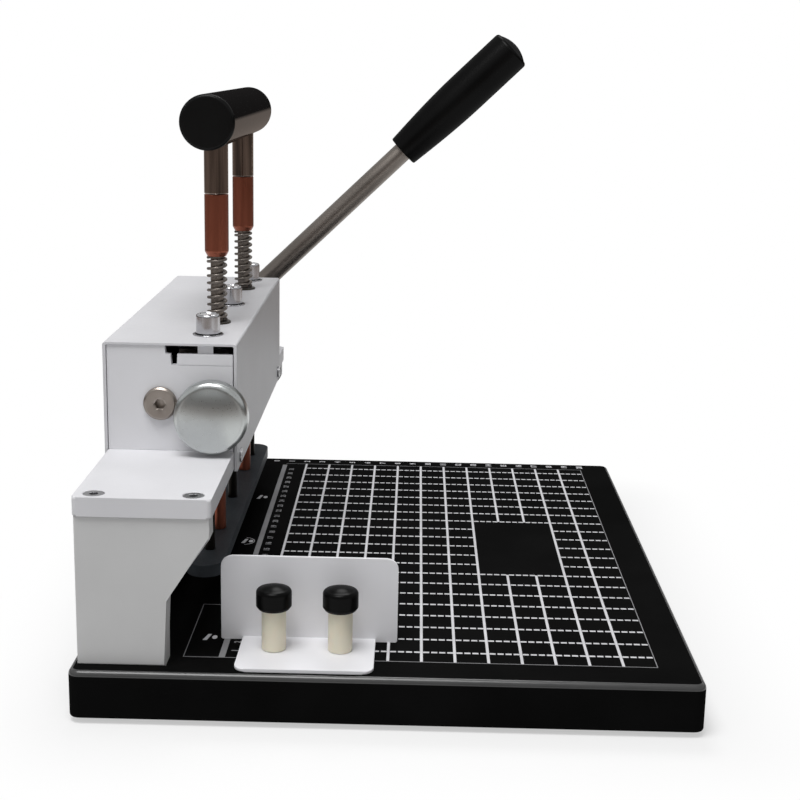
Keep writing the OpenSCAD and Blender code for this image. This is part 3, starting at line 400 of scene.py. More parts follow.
def combine(bm, other, operation="DIFFERENCE"):
    """The exact boolean of two closed meshes, as a new one."""
    keep, tool = raw_object("keep", bm), raw_object("tool", other)
    modifier = keep.modifiers.new("combine", "BOOLEAN")
    modifier.operation = operation
    modifier.solver = "EXACT"
    modifier.object = tool
    bpy.context.view_layer.update()
    result = bmesh.new()
    result.from_mesh(keep.evaluated_get(bpy.context.evaluated_depsgraph_get()).data)
    for thing in (keep, tool):
        mesh = thing.data
        bpy.data.objects.remove(thing)
        bpy.data.meshes.remove(mesh)
    return result


def piece(name, bm, body, finish, *nodes, smooth=ROUND_UNDER, flat=True, second=None, pick=None):
    """Makes a mesh a piece on a body, in place of the CAD nodes that it stands for. Edges under smooth
    degrees are shaded round, and the faces that pick chooses take a second finish."""
    made = raw_object(name, bm)
    mesh = made.data
    mesh.transform(Matrix.Scale(MM, 4))
    mesh.materials.append(FINISHES[finish])
    if second:
        mesh.materials.append(FINISHES[second])
        for face in mesh.polygons:
            face.material_index = int(pick(face.center / MM, face.normal))
    mesh.shade_smooth()
    mesh.set_sharp_from_angle(angle=math.radians(smooth))
    if flat:
        weighted = made.modifiers.new("flat_faces", "WEIGHTED_NORMAL")
        weighted.keep_sharp = True
    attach(made, body)
    if nodes:
        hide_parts(*nodes)
    return made


# Base

TRAY_EDGE = 2.5
SLOT_R = 2.9


def slot_box(stud):
    """The plan of the slot that a guide screw travels in."""
    return stud.x - SLOT_R, stud.y - SLOT_R, stud.x + SLOT_R, stud.y + SLOT_R + TRAVEL["guide_slide"]


def base_tray():
    """The folded tray, open below, with the openings for the cutting pad and for the guide's screws."""
    corner, wall, top, chamfer = 5.0, 2.0, 3.0, 0.6
    hem_out, hem_middle, hem_in = 0.8, 0.25, 0.4
    under = BASE.z1 - top
    rim = [(TRAY_EDGE * (1 - math.sin(a)), BASE.z1 - TRAY_EDGE * (1 - math.cos(a))) for a in quarter(8)]
    hem = [(0, hem_out), (hem_middle, hem_middle), (hem_out, 0), (wall - hem_in, 0), (wall, hem_in)]
    section = rim + [(inset, BASE.z0 + z) for inset, z in hem]
    section += [(wall, under - chamfer), (wall + chamfer, under)]
    bm = bmesh.new()
    rings = []
    for inset, z in section:
        x0, y0, x1, y1 = BASE.x0 + inset, BASE.y0 + inset, BASE.x1 - inset, BASE.y1 - inset
        rings.append([bm.verts.new((*p, z)) for p in rounded_rect(x0, y0, x1, y1, corner - inset)])
    bridge(bm, rings)
    bm.faces.new(rings[0])
    bm.faces.new(rings[-1])

    low, high = under - PAST, BASE.z1 + PAST
    gap, pad_corner = 0.1, 0.5
    pad = rounded_rect(PAD.x0 - gap, PAD.y0 - gap, PAD.x1 + gap, PAD.y1 + gap, pad_corner)
    holes = prism(bmesh.new(), pad, low, high)
    for stud in STUDS.values():
        prism(holes, rounded_rect(*slot_box(stud), SLOT_R - FIT, 10), low, high)
    return combine(bm, holes)


def on_tray_edge(place, normal):
    """Whether a face of the tray is on its rounded upper edge, whose faces take a lighter black as a painted
    highlight.
    """
    return place.z > BASE.z1 - TRAY_EDGE and 0.05 < normal.z < 0.985


piece("tray_coat", base_tray(), "frame", "black_base", "base_tray", second="black_edge_painted_highlight",
      pick=on_tray_edge)


# Print on the base

INK = 0.06
GRID, RULER_STEP = 15.0, 10.0
NEAR_Y, FAR_Y, END_X = BASE.y0 + 19, BASE.y1 - 14, BASE.x1 - 19
LINE_XS = [END_X + GRID * (k - 12) for k in range(12)]
ROW_YS = [NEAR_Y + 11 + GRID * j for j in range(21)]
# The rectangle of the grid that stays bare
BARE_X, BARE_Y = (LINE_XS[7], LINE_XS[10]), (ROW_YS[7], ROW_YS[13])
# The middle of the ruler's broad line
RULE_X = LINE_XS[0] - 14


def mark(bm, x0, y0, x1, y1):
    """One printed bar."""
    prism(bm, [(x0, y0), (x1, y0), (x1, y1), (x0, y1)], BASE.z1, BASE.z1 + INK)


def over_slot(x0, x1, y):
    """Whether a dash would reach over one of the slots of the guide's screws."""
    slots = [slot_box(stud) for stud in STUDS.values()]
    return any(left < x1 and x0 < right and near < y < far for left, near, right, far in slots)


def ruled_grid():
    """Full lines along Y and dashed rows across them, round the bare rectangle and clear of the slots."""
    bm = bmesh.new()
    half_line, half_dash, dash, gap, drift, per_square = 0.65, 0.75, 2.75, 0.15, 0.12, 4
    for x in LINE_XS:
        ends = [NEAR_Y, FAR_Y]
        if BARE_X[0] < x < BARE_X[1]:
            ends = [NEAR_Y, BARE_Y[0], BARE_Y[1], FAR_Y]
        for y0, y1 in zip(ends[::2], ends[1::2]):
            mark(bm, x - half_line, y0, x + half_line, y1)
    for y in ROW_YS:
        for i in range(per_square * len(LINE_XS)):
            x = LINE_XS[0] + half_line + gap + GRID / per_square * i - drift * (i % per_square)
            bare = BARE_Y[0] < y < BARE_Y[1] and BARE_X[0] < x + dash / 2 < BARE_X[1]
            if not bare and not over_slot(x, x + dash, y):
                mark(bm, x, y - half_dash, x + dash, y + half_dash)
    return bm


def borders():
    """The thin lines round the print, the near one's step towards the punches, and the ruler's line."""
    bm = bmesh.new()
    half, half_rule = 0.2, 1.4
    step_x0, step_x1, step_y = RULE_X - 17, RULE_X - 2.5, NEAR_Y + 64
    mark(bm, END_X - half, NEAR_Y, END_X + half, FAR_Y + half)
    mark(bm, step_x0 - half, NEAR_Y - half, END_X + half, NEAR_Y + half)
    mark(bm, RULE_X + 0.5, FAR_Y, END_X + half, FAR_Y + 2 * half)
    mark(bm, step_x0 - half, NEAR_Y, step_x0 + half, step_y + half)
    mark(bm, step_x0 - half, step_y, step_x1, step_y + 2 * half)
    mark(bm, RULE_X - half_rule, NEAR_Y + half, RULE_X + half_rule, FAR_Y - 3)
    return bm


def figures(entries, size):
    """Plain numbers, read from the operator's side, as thin closed letters on the base."""
    bm = bmesh.new()
    for text, x, y in entries:
        curve = bpy.data.curves.new("figure", "FONT")
        curve.body = text
        curve.size = size * MM
        curve.extrude = INK / 3 * MM
        curve.offset = size / 36 * MM
        curve.align_x = "CENTER"
        curve.align_y = "CENTER"
        curve.resolution_u = 3
        letter = bpy.data.objects.new("figure", curve)
        scene.collection.objects.link(letter)
        bpy.context.view_layer.update()
        mesh = bpy.data.meshes.new_from_object(letter.evaluated_get(bpy.context.evaluated_depsgraph_get()))
        mesh.transform(Matrix.Scale(1 / MM, 4))
        mesh.transform(at(x, y, BASE.z1 + INK / 2) @ Matrix.Rotation(math.pi / 2, 4, "Z"))
        bm.from_mesh(mesh)
        bpy.data.objects.remove(letter)
        bpy.data.curves.remove(curve)
        bpy.data.meshes.remove(mesh)
    bmesh.ops.remove_doubles(bm, verts=bm.verts, dist=0.0005)
    return bm


def position_marks():
    """Small pointers with a dot beside the cutting pad, one of them in an arc."""
    bm = bmesh.new()
    low, high = BASE.z1, BASE.z1 + INK
    places = [(RULE_X - 8.3, NEAR_Y + 23), (RULE_X - 7.1, NEAR_Y + 161.1), (RULE_X - 7.6, NEAR_Y + 244.6)]
    dot_r, dot_x, dot_stretch, half = 1.2, 2.2, 1.8, 3.6
    pointer = [(-3.0, -half), (-1.0, -half), (0.4, half), (-1.2, half)]
    for x, y in places:
        lathe(bm, pin(dot_r, low, high), at(x + dot_x, y) @ Matrix.Diagonal((1, dot_stretch, 1, 1)), 24)
        prism(bm, [(x + dx, y + dy) for dx, dy in pointer], low, high)
    arc_x, arc_y, outer, inner = RULE_X - 9, places[1][1], 6.2, 5.8
    sweep = [math.radians(a) for a in range(-80, 81, 10)]
    arc = [(outer, a) for a in sweep] + [(inner, a) for a in reversed(sweep)]
    prism(bm, [(arc_x + r * math.cos(a), arc_y + r * math.sin(a)) for r, a in arc], low, high)
    return bm


piece("ruled_lines", ruled_grid(), "frame", "print_white", flat=False)
piece("border_lines", borders(), "frame", "print_grey", flat=False)
ruler = [(str(i + 1), RULE_X + 5.2, NEAR_Y + 8 + RULER_STEP * i) for i in range(31)]
piece("ruler_numbers", figures(ruler, 4.4), "frame", "print_grey", flat=False)
far_edge = [(str(i), RULE_X - 6 + RULER_STEP * i, FAR_Y + 6.3) for i in range(21)]
piece("edge_numbers", figures(far_edge, 5.2), "frame", "print_white", flat=False)
piece("position_marks", position_marks(), "frame", "print_white", flat=False)


# Gantry

BRIDGE_SCREWS = Box("bridge_screws")
HEAD_R, SHANK_R = 5.0, 2.5
SCREW_PLACES = BRIDGE_SCREWS.corners(HEAD_R)


def side_casting(plate):
    """An end of the gantry: an upright that widens to the bridge at its top."""
    foot_w, throat_low, throat_high, edge = 38.8, 30.3, 9.5, 0.7
    foot_x = plate.x0 + foot_w
    outline = [(plate.x0, plate.z0), (foot_x, plate.z0), (foot_x, plate.z0 + throat_low),
               (plate.x1, plate.z1 - throat_high), (plate.x1, plate.z1), (plate.x0, plate.z1)]
    return prism(bmesh.new(), outline, plate.y0, plate.y1, UPRIGHT, edge, 4, True)


def bridge_casting():
    """The plate over the castings, bored for bushes and posts and countersunk for its screws."""
    corner, edge, sink, punch_bush_r, rod_bush_r = 2.2, 1.0, 2.5, 4.5, 5.0
    outline = rounded_rect(BRIDGE.x0, BRIDGE.y0, BRIDGE.x1, BRIDGE.y1, corner, 5)
    bm = prism(bmesh.new(), outline, BRIDGE.z0, BRIDGE.z1, edge=edge, steps=4)
    low, high = BRIDGE.z0 - PAST, BRIDGE.z1 + PAST
    holes = drills(low, high, (punch_bush_r + FIT, tool_row(PUNCH_YS)), (rod_bush_r + FIT, tool_row(ROD_YS)),
                   (POSTS.w / 2 + FIT, tool_row(POST_YS)))
    shank_r, head_r = SHANK_R + FIT, HEAD_R + FIT
    countersink = [(0, low), (shank_r, low), (shank_r, BRIDGE.z1 - sink), (head_r, BRIDGE.z1),
                   (head_r, high), (0, high)]
    for x, y in SCREW_PLACES:
        lathe(holes, countersink, at(x, y), 48)
    return combine(bm, holes)


def countersunk_screws():
    """The bridge's screws, with a six-sided socket in each sunk head."""
    socket_r, socket, face, break_edge, neck = 1.8, -2.1, -0.15, 0.15, -2.7
    face_r, rim_r, cone_r, end = HEAD_R - 0.5, HEAD_R - 0.2, HEAD_R - 0.15, -BRIDGE_SCREWS.h
    profile = [(0, socket), (socket_r, socket, HEX), (socket_r, face - break_edge, HEX),
               (socket_r + 2 * break_edge, face), (face_r, face), (rim_r, face - break_edge),
               (cone_r, face - 2 * break_edge), (SHANK_R, neck), (SHANK_R, end), (0, end)]
    bm = bmesh.new()
    for x, y in SCREW_PLACES:
        lathe(bm, profile, at(x, y, BRIDGE_SCREWS.z1), 48)
    return bm


for end in ("near", "far"):
    node = end + "_side_plate"
    piece(end + "_side_casting", side_casting(Box(node)), "frame", "casting_paint", node)
piece("bridge_casting", bridge_casting(), "frame", "white_paint", "bridge_plate")
piece("countersunk_screws", countersunk_screws(), "frame", "zinc_steel", "bridge_screws")


# Head

EYELETS, SEATS = Box("cover_eyelets"), Box("spring_seats")
COVER_SCREWS = Box("cover_screws")
EYELET_R = EYELETS.w / 2 - 0.7
ROD_HOLE_R = 3.6
SIDE_SHEET, TOP_SHEET = 1.5, 1.0


def cover_shell():
    """The folded sheet of the head, open at both ends and below."""
    bend, inner_bend, edge, screw_r = 1.3, 0.4, 0.25, 2 + FIT
    x0, x1, low, high = COVER.x0, COVER.x1, COVER.z0, COVER.z1
    in_x0, in_x1, in_z = x0 + SIDE_SHEET, x1 - SIDE_SHEET, high - TOP_SHEET
    outline = fillet([(x0, low), (x0, high, bend), (x1, high, bend), (x1, low), (in_x1, low),
                      (in_x1, in_z, inner_bend), (in_x0, in_z, inner_bend), (in_x0, low)], True, 6)
    bm = prism(bmesh.new(), outline, COVER.y0, COVER.y1, UPRIGHT, edge, 2)
    holes = drills(in_z - PAST, high + PAST, (EYELET_R + FIT, tool_row(PUNCH_YS)),
                   (ROD_HOLE_R, tool_row(ROD_YS)))
    head_r = COVER_SCREWS.h / 2
    for y in (COVER_SCREWS.y0 + head_r, COVER_SCREWS.y1 - head_r):
        across = towards((x0 - PAST, y, COVER_SCREWS.z), (1, 0, 0))
        lathe(holes, pin(screw_r, 0, COVER.w + 2 * PAST), across, 32)
    return combine(bm, holes)


def near_end_sheet():
    """The near end plate on its foot. A window and a slot at its top show the carrier bar, a tab stands
    back in the window, and a fine groove runs on from the slot."""
    plate, screws = Box("near_end_plate"), Box("end_plate_screws")
    thick, edge, groove, groove_gap = 3.0, 0.25, 0.35, 0.3
    foot_w, foot_set, foot_corner, foot_edge = 26.0, 0.5, 1.0, 0.3
    left_gap, right_gap, top_gap, tab_set, tab_root = 0.2, 0.5, 0.1, 2.0, 1.0
    x0, x1 = COVER.x0 + SIDE_SHEET + left_gap, COVER.x1 - SIDE_SHEET - right_gap
    top, sill, low = COVER.z1 - TOP_SHEET - top_gap, plate.z1 - 3.6, plate.z1 - 9.0
    window_x, slot_x0, slot_x1, tab_x0, tab_x1 = (TOOL_X + dx for dx in (-17.1, -14.4, -11.3, -1.9, 5.4))
    outline = [(x0, plate.z0), (x1, plate.z0), (x1, sill), (slot_x1, sill), (slot_x1, low), (slot_x0, low),
               (slot_x0, sill), (window_x, sill), (window_x, top), (x0, top)]
    bm = prism(bmesh.new(), outline, plate.y0, plate.y0 + thick, UPRIGHT, edge, 2)
    tab = [(tab_x0, sill - tab_root), (tab_x1, sill - tab_root), (tab_x1, top), (tab_x0, top)]
    bm = combine(bm, prism(bmesh.new(), tab, plate.y0 + tab_set, plate.y0 + thick, UPRIGHT), "UNION")
    foot = rounded_rect(plate.x0, plate.y0 + foot_set, plate.x0 + foot_w, plate.y1, foot_corner)
    bm = combine(bm, prism(bmesh.new(), foot, plate.z0, plate.z0 + thick, edge=foot_edge), "UNION")

    line_x0, line_x1 = slot_x1 + groove_gap, x1 + PAST
    line = [(line_x0, low), (line_x1, low), (line_x1, low + groove), (line_x0, low + groove)]
    holes = prism(bmesh.new(), line, plate.y0 - PAST, plate.y0 + groove, UPRIGHT)
    shaft_bush_r, knob_bush_r = 7.5, 5.0
    for box, r in ((SHAFT, shaft_bush_r), (KNOB, knob_bush_r)):
        through = towards((box.x, plate.y0 - PAST, box.z), (0, 1, 0))
        lathe(holes, pin(r + FIT, 0, thick + 2 * PAST), through, 48)
    head_r, screw_r = 3.5, 2 + FIT
    for x in (screws.x0 + head_r, screws.x1 - head_r):
        lathe(holes, pin(screw_r, -PAST, thick + PAST), at(x, screws.y0 + head_r, plate.z0), 32)
    return combine(bm, holes)


def eyelets():
    """The rims in the cover that the clamp screws pass through."""
    inner, outer, mouth, edge = EYELET_R - 0.6, EYELETS.w / 2, 0.25, 0.3
    rim = fillet([(inner, EYELETS.z0), (inner, EYELETS.z1, mouth), (outer, EYELETS.z1, edge),
                  (outer, COVER.z1), (EYELET_R, COVER.z1), (EYELET_R, EYELETS.z0)], True, 3)
    return turned_row(rim, PUNCH_YS, loop=True)


def spring_cups():
    """The seats of the press springs on the cover."""
    outer, mouth, edge = SEATS.w / 2, 0.2, 0.4
    rim = fillet([(ROD_HOLE_R, SEATS.z0), (ROD_HOLE_R, SEATS.z1, mouth), (outer, SEATS.z1, edge),
                  (outer, SEATS.z0)], True, 3)
    return turned_row(rim, ROD_YS, loop=True)


def cap_screws():
    """The punches' clamp screws: round heads with a rolled rim and a shallow dish."""
    r, top, low, shank_r = CLAMPS.w / 2, CLAMPS.z1, EYELETS.z1 + 0.2, 3.9
    dish_r, dish, lip, rolled, edge = r - 2.1, 0.5, 0.4, 1.4, 0.4
    head = fillet([(dish_r + lip, top), (r, top, rolled), (r, low, edge), (shank_r, low)], steps=5)
    profile = [(0, top - dish), (dish_r, top - dish)] + head + [(shank_r, CLAMPS.z0), (0, CLAMPS.z0)]
    return turned_row(profile, PUNCH_YS, 60)


def on_screw_top(place, normal):
    """Whether a face of a clamp screw is a flat one on its top, which takes a near-white metal: a machined
    face, with a painted highlight.
    """
    return place.z > CLAMPS.z1 - 1 and normal.z > 0.99


# The cover wears the darker copy of the white paint: painted shade
piece("cover_sheet", cover_shell(), "frame", "cover_paint_shaded", "head_cover")
piece("near_end_sheet", near_end_sheet(), "frame", "white_paint", "near_end_plate")
piece("eyelets", eyelets(), "frame", "bright_zinc", "cover_eyelets", smooth=50)
piece("spring_cups", spring_cups(), "frame", "dark_steel", "spring_seats", smooth=50)
piece("cap_screws", cap_screws(), "carrier", "bright_zinc", "clamp_screws", second="machined_face_painted_highlight",
      pick=on_screw_top)


# Shaft end, knob and lever

ROD = Box("lever_rod")
LEVER_R = ROD.d / 2
PIVOT = Vector((SHAFT.x, ROD.y, SHAFT.z))
LEVER_AXIS = (Vector((ROD.x, ROD.y, ROD.z)) - PIVOT).normalized()
LEVER = towards(PIVOT, LEVER_AXIS)
ROD_LOW, ROD_HIGH = along("lever_rod", PIVOT, LEVER_AXIS)
GRIP_LOW, GRIP_HIGH = along("lever_grip", PIVOT, LEVER_AXIS)


def shaft_cap_screw():
    """The screw in the shaft's near end, with a chamfered face and a six-sided socket."""
    screw = Box("shaft_end_screw")
    r, head_h, shank_r, chamfer = screw.w / 2, 2.6, 3.0, 1.0
    face_edge, rim_edge, low_edge = 0.5, 0.4, 0.3
    socket_r, socket_low, mouth_r, mouth = 2.3, -1.4, 3.1, 0.4
    head = fillet([(mouth_r, head_h), (r - chamfer, head_h, face_edge), (r, head_h - chamfer, rim_edge),
                   (r, 0, low_edge), (shank_r, 0)], steps=4)
    socket = [(0, socket_low), (socket_r, socket_low, HEX), (socket_r, head_h - mouth, HEX)]
    shank = [(shank_r, head_h - screw.d), (0, head_h - screw.d)]
    outward = towards((screw.x, screw.y0 + head_h, screw.z), (0, -1, 0))
    return lathe(bmesh.new(), socket + head + shank, outward, 60)


def turned_knob():
    """The domed knob with its neck, bored for the eccentric's stub."""
    r, thick, crown_r, dome = KNOB.w / 2, 11.0, KNOB.w / 2 - 3, 2.0
    neck_r, neck, bore_r, bore = 6.0, KNOB.d - thick, 3 + FIT, 8.0
    neck_edge, root, low_edge, shoulder = 0.4, 0.6, 1.4, 2.9
    side = fillet([(bore_r, -neck), (neck_r, -neck, neck_edge), (neck_r, 0, root), (r, 0, low_edge),
                   (r, thick - dome, shoulder), (crown_r, thick - dome)], steps=7)
    profile = [(0, bore - neck), (bore_r, bore - neck)] + side + crown(crown_r, thick, dome, 8)[1:]
    return lathe(bmesh.new(), profile, towards((KNOB.x, KNOB.y0 + thick, KNOB.z), (0, -1, 0)), 72)


def lever_tube():
    """The lever's rod, with its ends broken."""
    r, edge = LEVER_R, 0.3
    profile = fillet([(0, ROD_LOW), (r, ROD_LOW, edge), (r, ROD_HIGH, edge), (0, ROD_HIGH)], steps=3)
    return lathe(bmesh.new(), profile, LEVER, 48)


def hand_grip():
    """The moulded grip: it swells from its lower end and closes in a low dome."""
    r, low_r, bore_r = Box("lever_grip").d / 2, 9.8, LEVER_R + FIT
    dome, edge, low_edge, chamfer = 3.0, 2.2, 0.8, 0.4
    shoulder = GRIP_HIGH - dome
    length, steps, swollen = shoulder - edge - GRIP_LOW, 20, 12
    swell = []
    for k in range(1, steps):
        out = math.sin(math.pi / 2 * min(1, k / swollen))
        swell.append((low_r + (r - low_r) * out, GRIP_LOW + length * k / steps))
    bore = [(0, ROD_HIGH + FIT), (bore_r, ROD_HIGH + FIT), (bore_r, GRIP_LOW + chamfer)]
    mouth = fillet([(bore_r + chamfer, GRIP_LOW), (low_r, GRIP_LOW, low_edge), swell[0]], steps=4)
    top = crown(r - edge, GRIP_HIGH, dome, 7)
    rim = fillet([swell[-1], (r, shoulder, edge), top[0]], steps=6)[1:-1]
    return lathe(bmesh.new(), bore + mouth + swell[1:] + rim + top[1:], LEVER, 64)


piece("shaft_cap_screw", shaft_cap_screw(), "lever", "plain_steel", "shaft_end_screw")
piece("turned_knob", turned_knob(), "knob", "chrome", "depth_knob", smooth=40)
piece("lever_tube", lever_tube(), "lever", "lever_steel", "lever_rod")
piece("lever_handgrip", hand_grip(), "lever", "black_nylon", "lever_grip", smooth=40)


# Paper press

ROD_R = RODS.w / 2
BAR, DISCS = Box("handle_bar"), Box("handle_caps")
BAR_R, BAR_BORE_R = BAR.w / 2, BAR.w / 2 - 4


def sleeve(node, low_in, low_h):
    """A tube on each press rod, whose lower end narrows by an inset over a height."""
    tube, edge = Box(node), 0.3
    r, bore_r = tube.w / 2, ROD_R + FIT
    outline = [(bore_r, tube.z0), (bore_r, tube.z1), (r - edge, tube.z1), (r, tube.z1 - edge),
               (r, tube.z0 + low_h, low_h), (r - low_in, tube.z0, low_in / 4)]
    return turned_row(fillet(outline, True, 4), ROD_YS, 56, True)


def handle_tube():
    """The bar of the handle, bored at both ends for its discs."""
    bore, edge = 9.5, 0.3
    tube = fillet([(BAR_BORE_R, 0), (BAR_R, 0, edge), (BAR_R, BAR.d, edge), (BAR_BORE_R, BAR.d)], steps=3)
    profile = [(0, bore), (BAR_BORE_R, bore)] + tube + [(BAR_BORE_R, BAR.d - bore), (0, BAR.d - bore)]
    return lathe(bmesh.new(), profile, towards((BAR.x, BAR.y0, BAR.z), (0, 1, 0)), 72)


def handle_end_discs():
    """The discs that close the bar, each with its plug in the bore."""
    disc, plug, plug_r, face_edge, back_edge = BAR.y0 - DISCS.y0, 6.0, BAR_BORE_R - FIT, 1.7, 0.25
    face = fillet([(0, 0), (BAR_R, 0, face_edge), (BAR_R, disc, back_edge), (plug_r, disc)], steps=6)
    profile = face + [(plug_r, disc + plug), (0, disc + plug)]
    bm = bmesh.new()
    for y, way in ((DISCS.y0, 1), (DISCS.y1, -1)):
        lathe(bm, profile, towards((BAR.x, y, BAR.z), (0, way, 0)), 72)
    return bm


def spring(bm, y, coil, wire, turns, rings=24, sides=12):
    """A round-wire spring as tall and wide as the box of its coil, with its end turns closed up."""
    radius, up = (coil.w - wire) / 2, Vector((0, 0, 1))
    closed, close_pitch = 0.8, wire * 1.06
    open_pitch = (coil.h - wire - 2 * closed * close_pitch) / (turns - 2 * closed)
    loops = []
    for i in range(round(turns * rings) + 1):
        turn = i / rings
        at_ends = min(turn, closed) + max(0, turn - turns + closed)
        between = max(0, min(turn, turns - closed) - closed)
        z = coil.z0 + wire / 2 + at_ends * close_pitch + between * open_pitch
        out = Vector((math.cos(math.tau * turn), math.sin(math.tau * turn), 0))
        centre = Vector((TOOL_X, y, z)) + radius * out
        loop = []
        for k in range(sides):
            a = math.tau * k / sides
            loop.append(bm.verts.new(centre + wire / 2 * (math.cos(a) * out + math.sin(a) * up)))
        loops.append(loop)
    bridge(bm, loops)
    bm.faces.new(loops[0][::-1])
    bm.faces.new(loops[-1])


def coils(name, node, ys, wire, turns):
    """A pair of springs, on a mesh of their own."""
    coil = Box(node)
    bm = bmesh.new()
    for y in ys:
        spring(bm, y, coil, wire, turns)
    made = piece(name, bm, "frame", "spring_steel", node, smooth=60, flat=False)
    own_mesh(made)


piece("rods", turned_row(pin(ROD_R, RODS.z0, RODS.z1), ROD_YS, 56), "press", "spring_steel", "press_rods")
bright, copper, low_copper = "bright_sleeves", "copper_sleeves", "low_copper_sleeves"
# The bright sleeves wear painted reflection streaks
piece("bright_tubes", sleeve(bright, low_in=0.35, low_h=0.6), "press", "painted_streak_tube", bright)
piece("copper_tubes", sleeve(copper, low_in=1.3, low_h=2.4), "press", "copper", copper)
piece("low_copper_tubes", sleeve(low_copper, low_in=0.4, low_h=0.4), "press", "copper", low_copper)
piece("handle_tube", handle_tube(), "press", "black_gloss", "handle_bar")
piece("handle_end_discs", handle_end_discs(), "press", "black_matte", "handle_caps")
coils("press_coils", "press_springs", ROD_YS, wire=1.5, turns=9.5)
coils("return_coils", "return_springs", POST_YS, wire=1.4, turns=7)


# Side guide and its screws

def guide_sheet():
    """The bent sheet: an upright with rounded upper corners, and its foot."""
    sheet, corner, low_corner, foot_w, root, edge = 1.5, 5.0, 0.6, 61.0, 1.0, 0.4
    face, x0, x1 = GUIDE.y1 - sheet, GUIDE.x - foot_w / 2, GUIDE.x + foot_w / 2
    outline = [(GUIDE.x0, GUIDE.z0, low_corner), (GUIDE.x1, GUIDE.z0, low_corner),
               (GUIDE.x1, GUIDE.z1, corner), (GUIDE.x0, GUIDE.z1, corner)]
    bm = prism(bmesh.new(), fillet(outline, True, 8), face, GUIDE.y1, UPRIGHT, edge)
    outline = [(x0, face + root), (x0, GUIDE.y0, corner), (x1, GUIDE.y0, corner), (x1, face + root)]
    foot = prism(bmesh.new(), fillet(outline, True, 8), GUIDE.z0, GUIDE.z0 + sheet, edge=edge)
    bmesh.ops.triangulate(foot, faces=foot.faces)
    return combine(bm, foot, "UNION")


def nylon_stem(stem, stud):
    """The sleeve on a guide screw's stud."""
    r, bore_r, low_edge, top_edge = stem.w / 2, stud.w / 2 + FIT, 0.5, 0.3
    outline = [(bore_r, stem.z0), (r, stem.z0, low_edge), (r, stem.z1, top_edge), (bore_r, stem.z1)]
    return lathe(bmesh.new(), fillet(outline, True, 4), at(stud.x, stud.y), 48, True)


def thumb_cap(cap, stud):
    """The domed cap of a guide screw, bored for its stud."""
    r, bore_r, bore = cap.w / 2, stud.w / 2 + FIT, 7.0
    dome, edge, taper, taper_h, foot_edge, taper_edge = 1.4, 1.8, 1.0, 1.4, 0.4, 0.6
    top = crown(r - edge, cap.z1, dome, 8)
    side = fillet([(bore_r, cap.z0), (r - taper, cap.z0, foot_edge), (r, cap.z0 + taper_h, taper_edge),
                   (r, cap.z1 - dome, edge), top[0]], steps=6)[:-1]
    profile = [(0, cap.z0 + bore), (bore_r, cap.z0 + bore)] + side + top[1:]
    return lathe(bmesh.new(), profile, at(stud.x, stud.y), 64)


# The guide wears the lighter copy of the white paint: painted light
piece("guide_sheet", guide_sheet(), "guide", "guide_paint_lit", "side_guide")
for side, stud in STUDS.items():
    body = side + "_screw"
    stem, cap = body + "_stem", body + "_cap"
    piece(side + "_nylon_stem", nylon_stem(Box(stem), stud), body, "cream_nylon", stem)
    piece(side + "_thumb_cap", thumb_cap(Box(cap), stud), body, "black_cap", cap, smooth=45)


# The CAD nodes that stay: their materials, and smooth shading of their round faces

KEPT = {
    "black_base": ["bottom_plate", "cutting_pad"],
    # The back stop wears the lighter black of the tray's painted edge highlight
    "black_edge_painted_highlight": ["back_stop"],
    "black_rubber": ["rubber_feet"],
    "white_paint": ["far_end_plate"],
    "zinc_steel": ["bottom_screws", "side_plate_bolts", "end_plate_screws", "cover_screws",
                   "back_stop_screws", "rack_screws", "stop_lug", "press_plate_screws", "guide_nuts",
                   "left_screw_stud", "right_screw_stud"],
    "plain_steel": ["pad_support", "guide_posts", "main_shaft", "pinion_pins", "depth_cam"],
    "dark_steel": ["pinions", "lever_hub", "hub_grub_screw", "carrier_bar", "racks"],
    "black_steel": ["punches"],
    "bronze": ["shaft_bushes", "knob_bush", "punch_bushes", "rod_bushes"],
    "dark_plate": ["press_plate"],
}


def smoother():
    """A node group that joins a CAD node's facets and shades its round faces smooth."""
    group = bpy.data.node_groups.new("smooth_round_faces", "GeometryNodeTree")
    for way in ("INPUT", "OUTPUT"):
        group.interface.new_socket("Geometry", in_out=way, socket_type="NodeSocketGeometry")
    nodes, links = group.nodes, group.links
    first, last = nodes.new("NodeGroupInput"), nodes.new("NodeGroupOutput")
    join = nodes.new("GeometryNodeMergeByDistance")
    join.inputs["Distance"].default_value = 2e-6
    plain = nodes.new("GeometryNodeRemoveAttribute")
    plain.inputs["Name"].default_value = "custom_normal"
    faces = nodes.new("GeometryNodeSetShadeSmooth")
    edges = nodes.new("GeometryNodeSetShadeSmooth")
    edges.domain = "EDGE"
    angle = nodes.new("GeometryNodeInputMeshEdgeAngle")
    gentle = nodes.new("FunctionNodeCompare")
    gentle.operation = "LESS_THAN"
    gentle.inputs["B"].default_value = math.radians(ROUND_UNDER)
    links.new(angle.outputs["Unsigned Angle"], gentle.inputs["A"])
    links.new(gentle.outputs["Result"], edges.inputs["Shade Smooth"])
    chain = [first, join, plain, faces, edges, last]
    for a, b in zip(chain, chain[1:]):
        links.new(a.outputs["Geometry"], b.inputs["Geometry"])
    return group


smooth_group = smoother()
for finish, kept in KEPT.items():
    for node in kept:
        made = frame["nodes"][node]
        for slot in made.material_slots:
            slot.material = FINISHES[finish]
        made.modifiers.new("smooth", "NODES").node_group = smooth_group


# Floor, light and camera, in metres

SEEN = ("Is Camera Ray", "Is Glossy Ray", "Is Transmission Ray")
FLOOR_HALF = 0.75
# What gloss sees of the room: the height of a direction, from -1 below to 1 above, and the colour there
SKYLINE = (0.02, 0.018, 0.018)
ROOM = [(-0.03, (0.3, 0.25, 0.22)), (0.0, SKYLINE), (0.2, SKYLINE), (0.25, grey(0.8)), (0.6, grey(0.5))]
# Where the lamps point
SUBJECT = (-0.05, 0, 0.08)


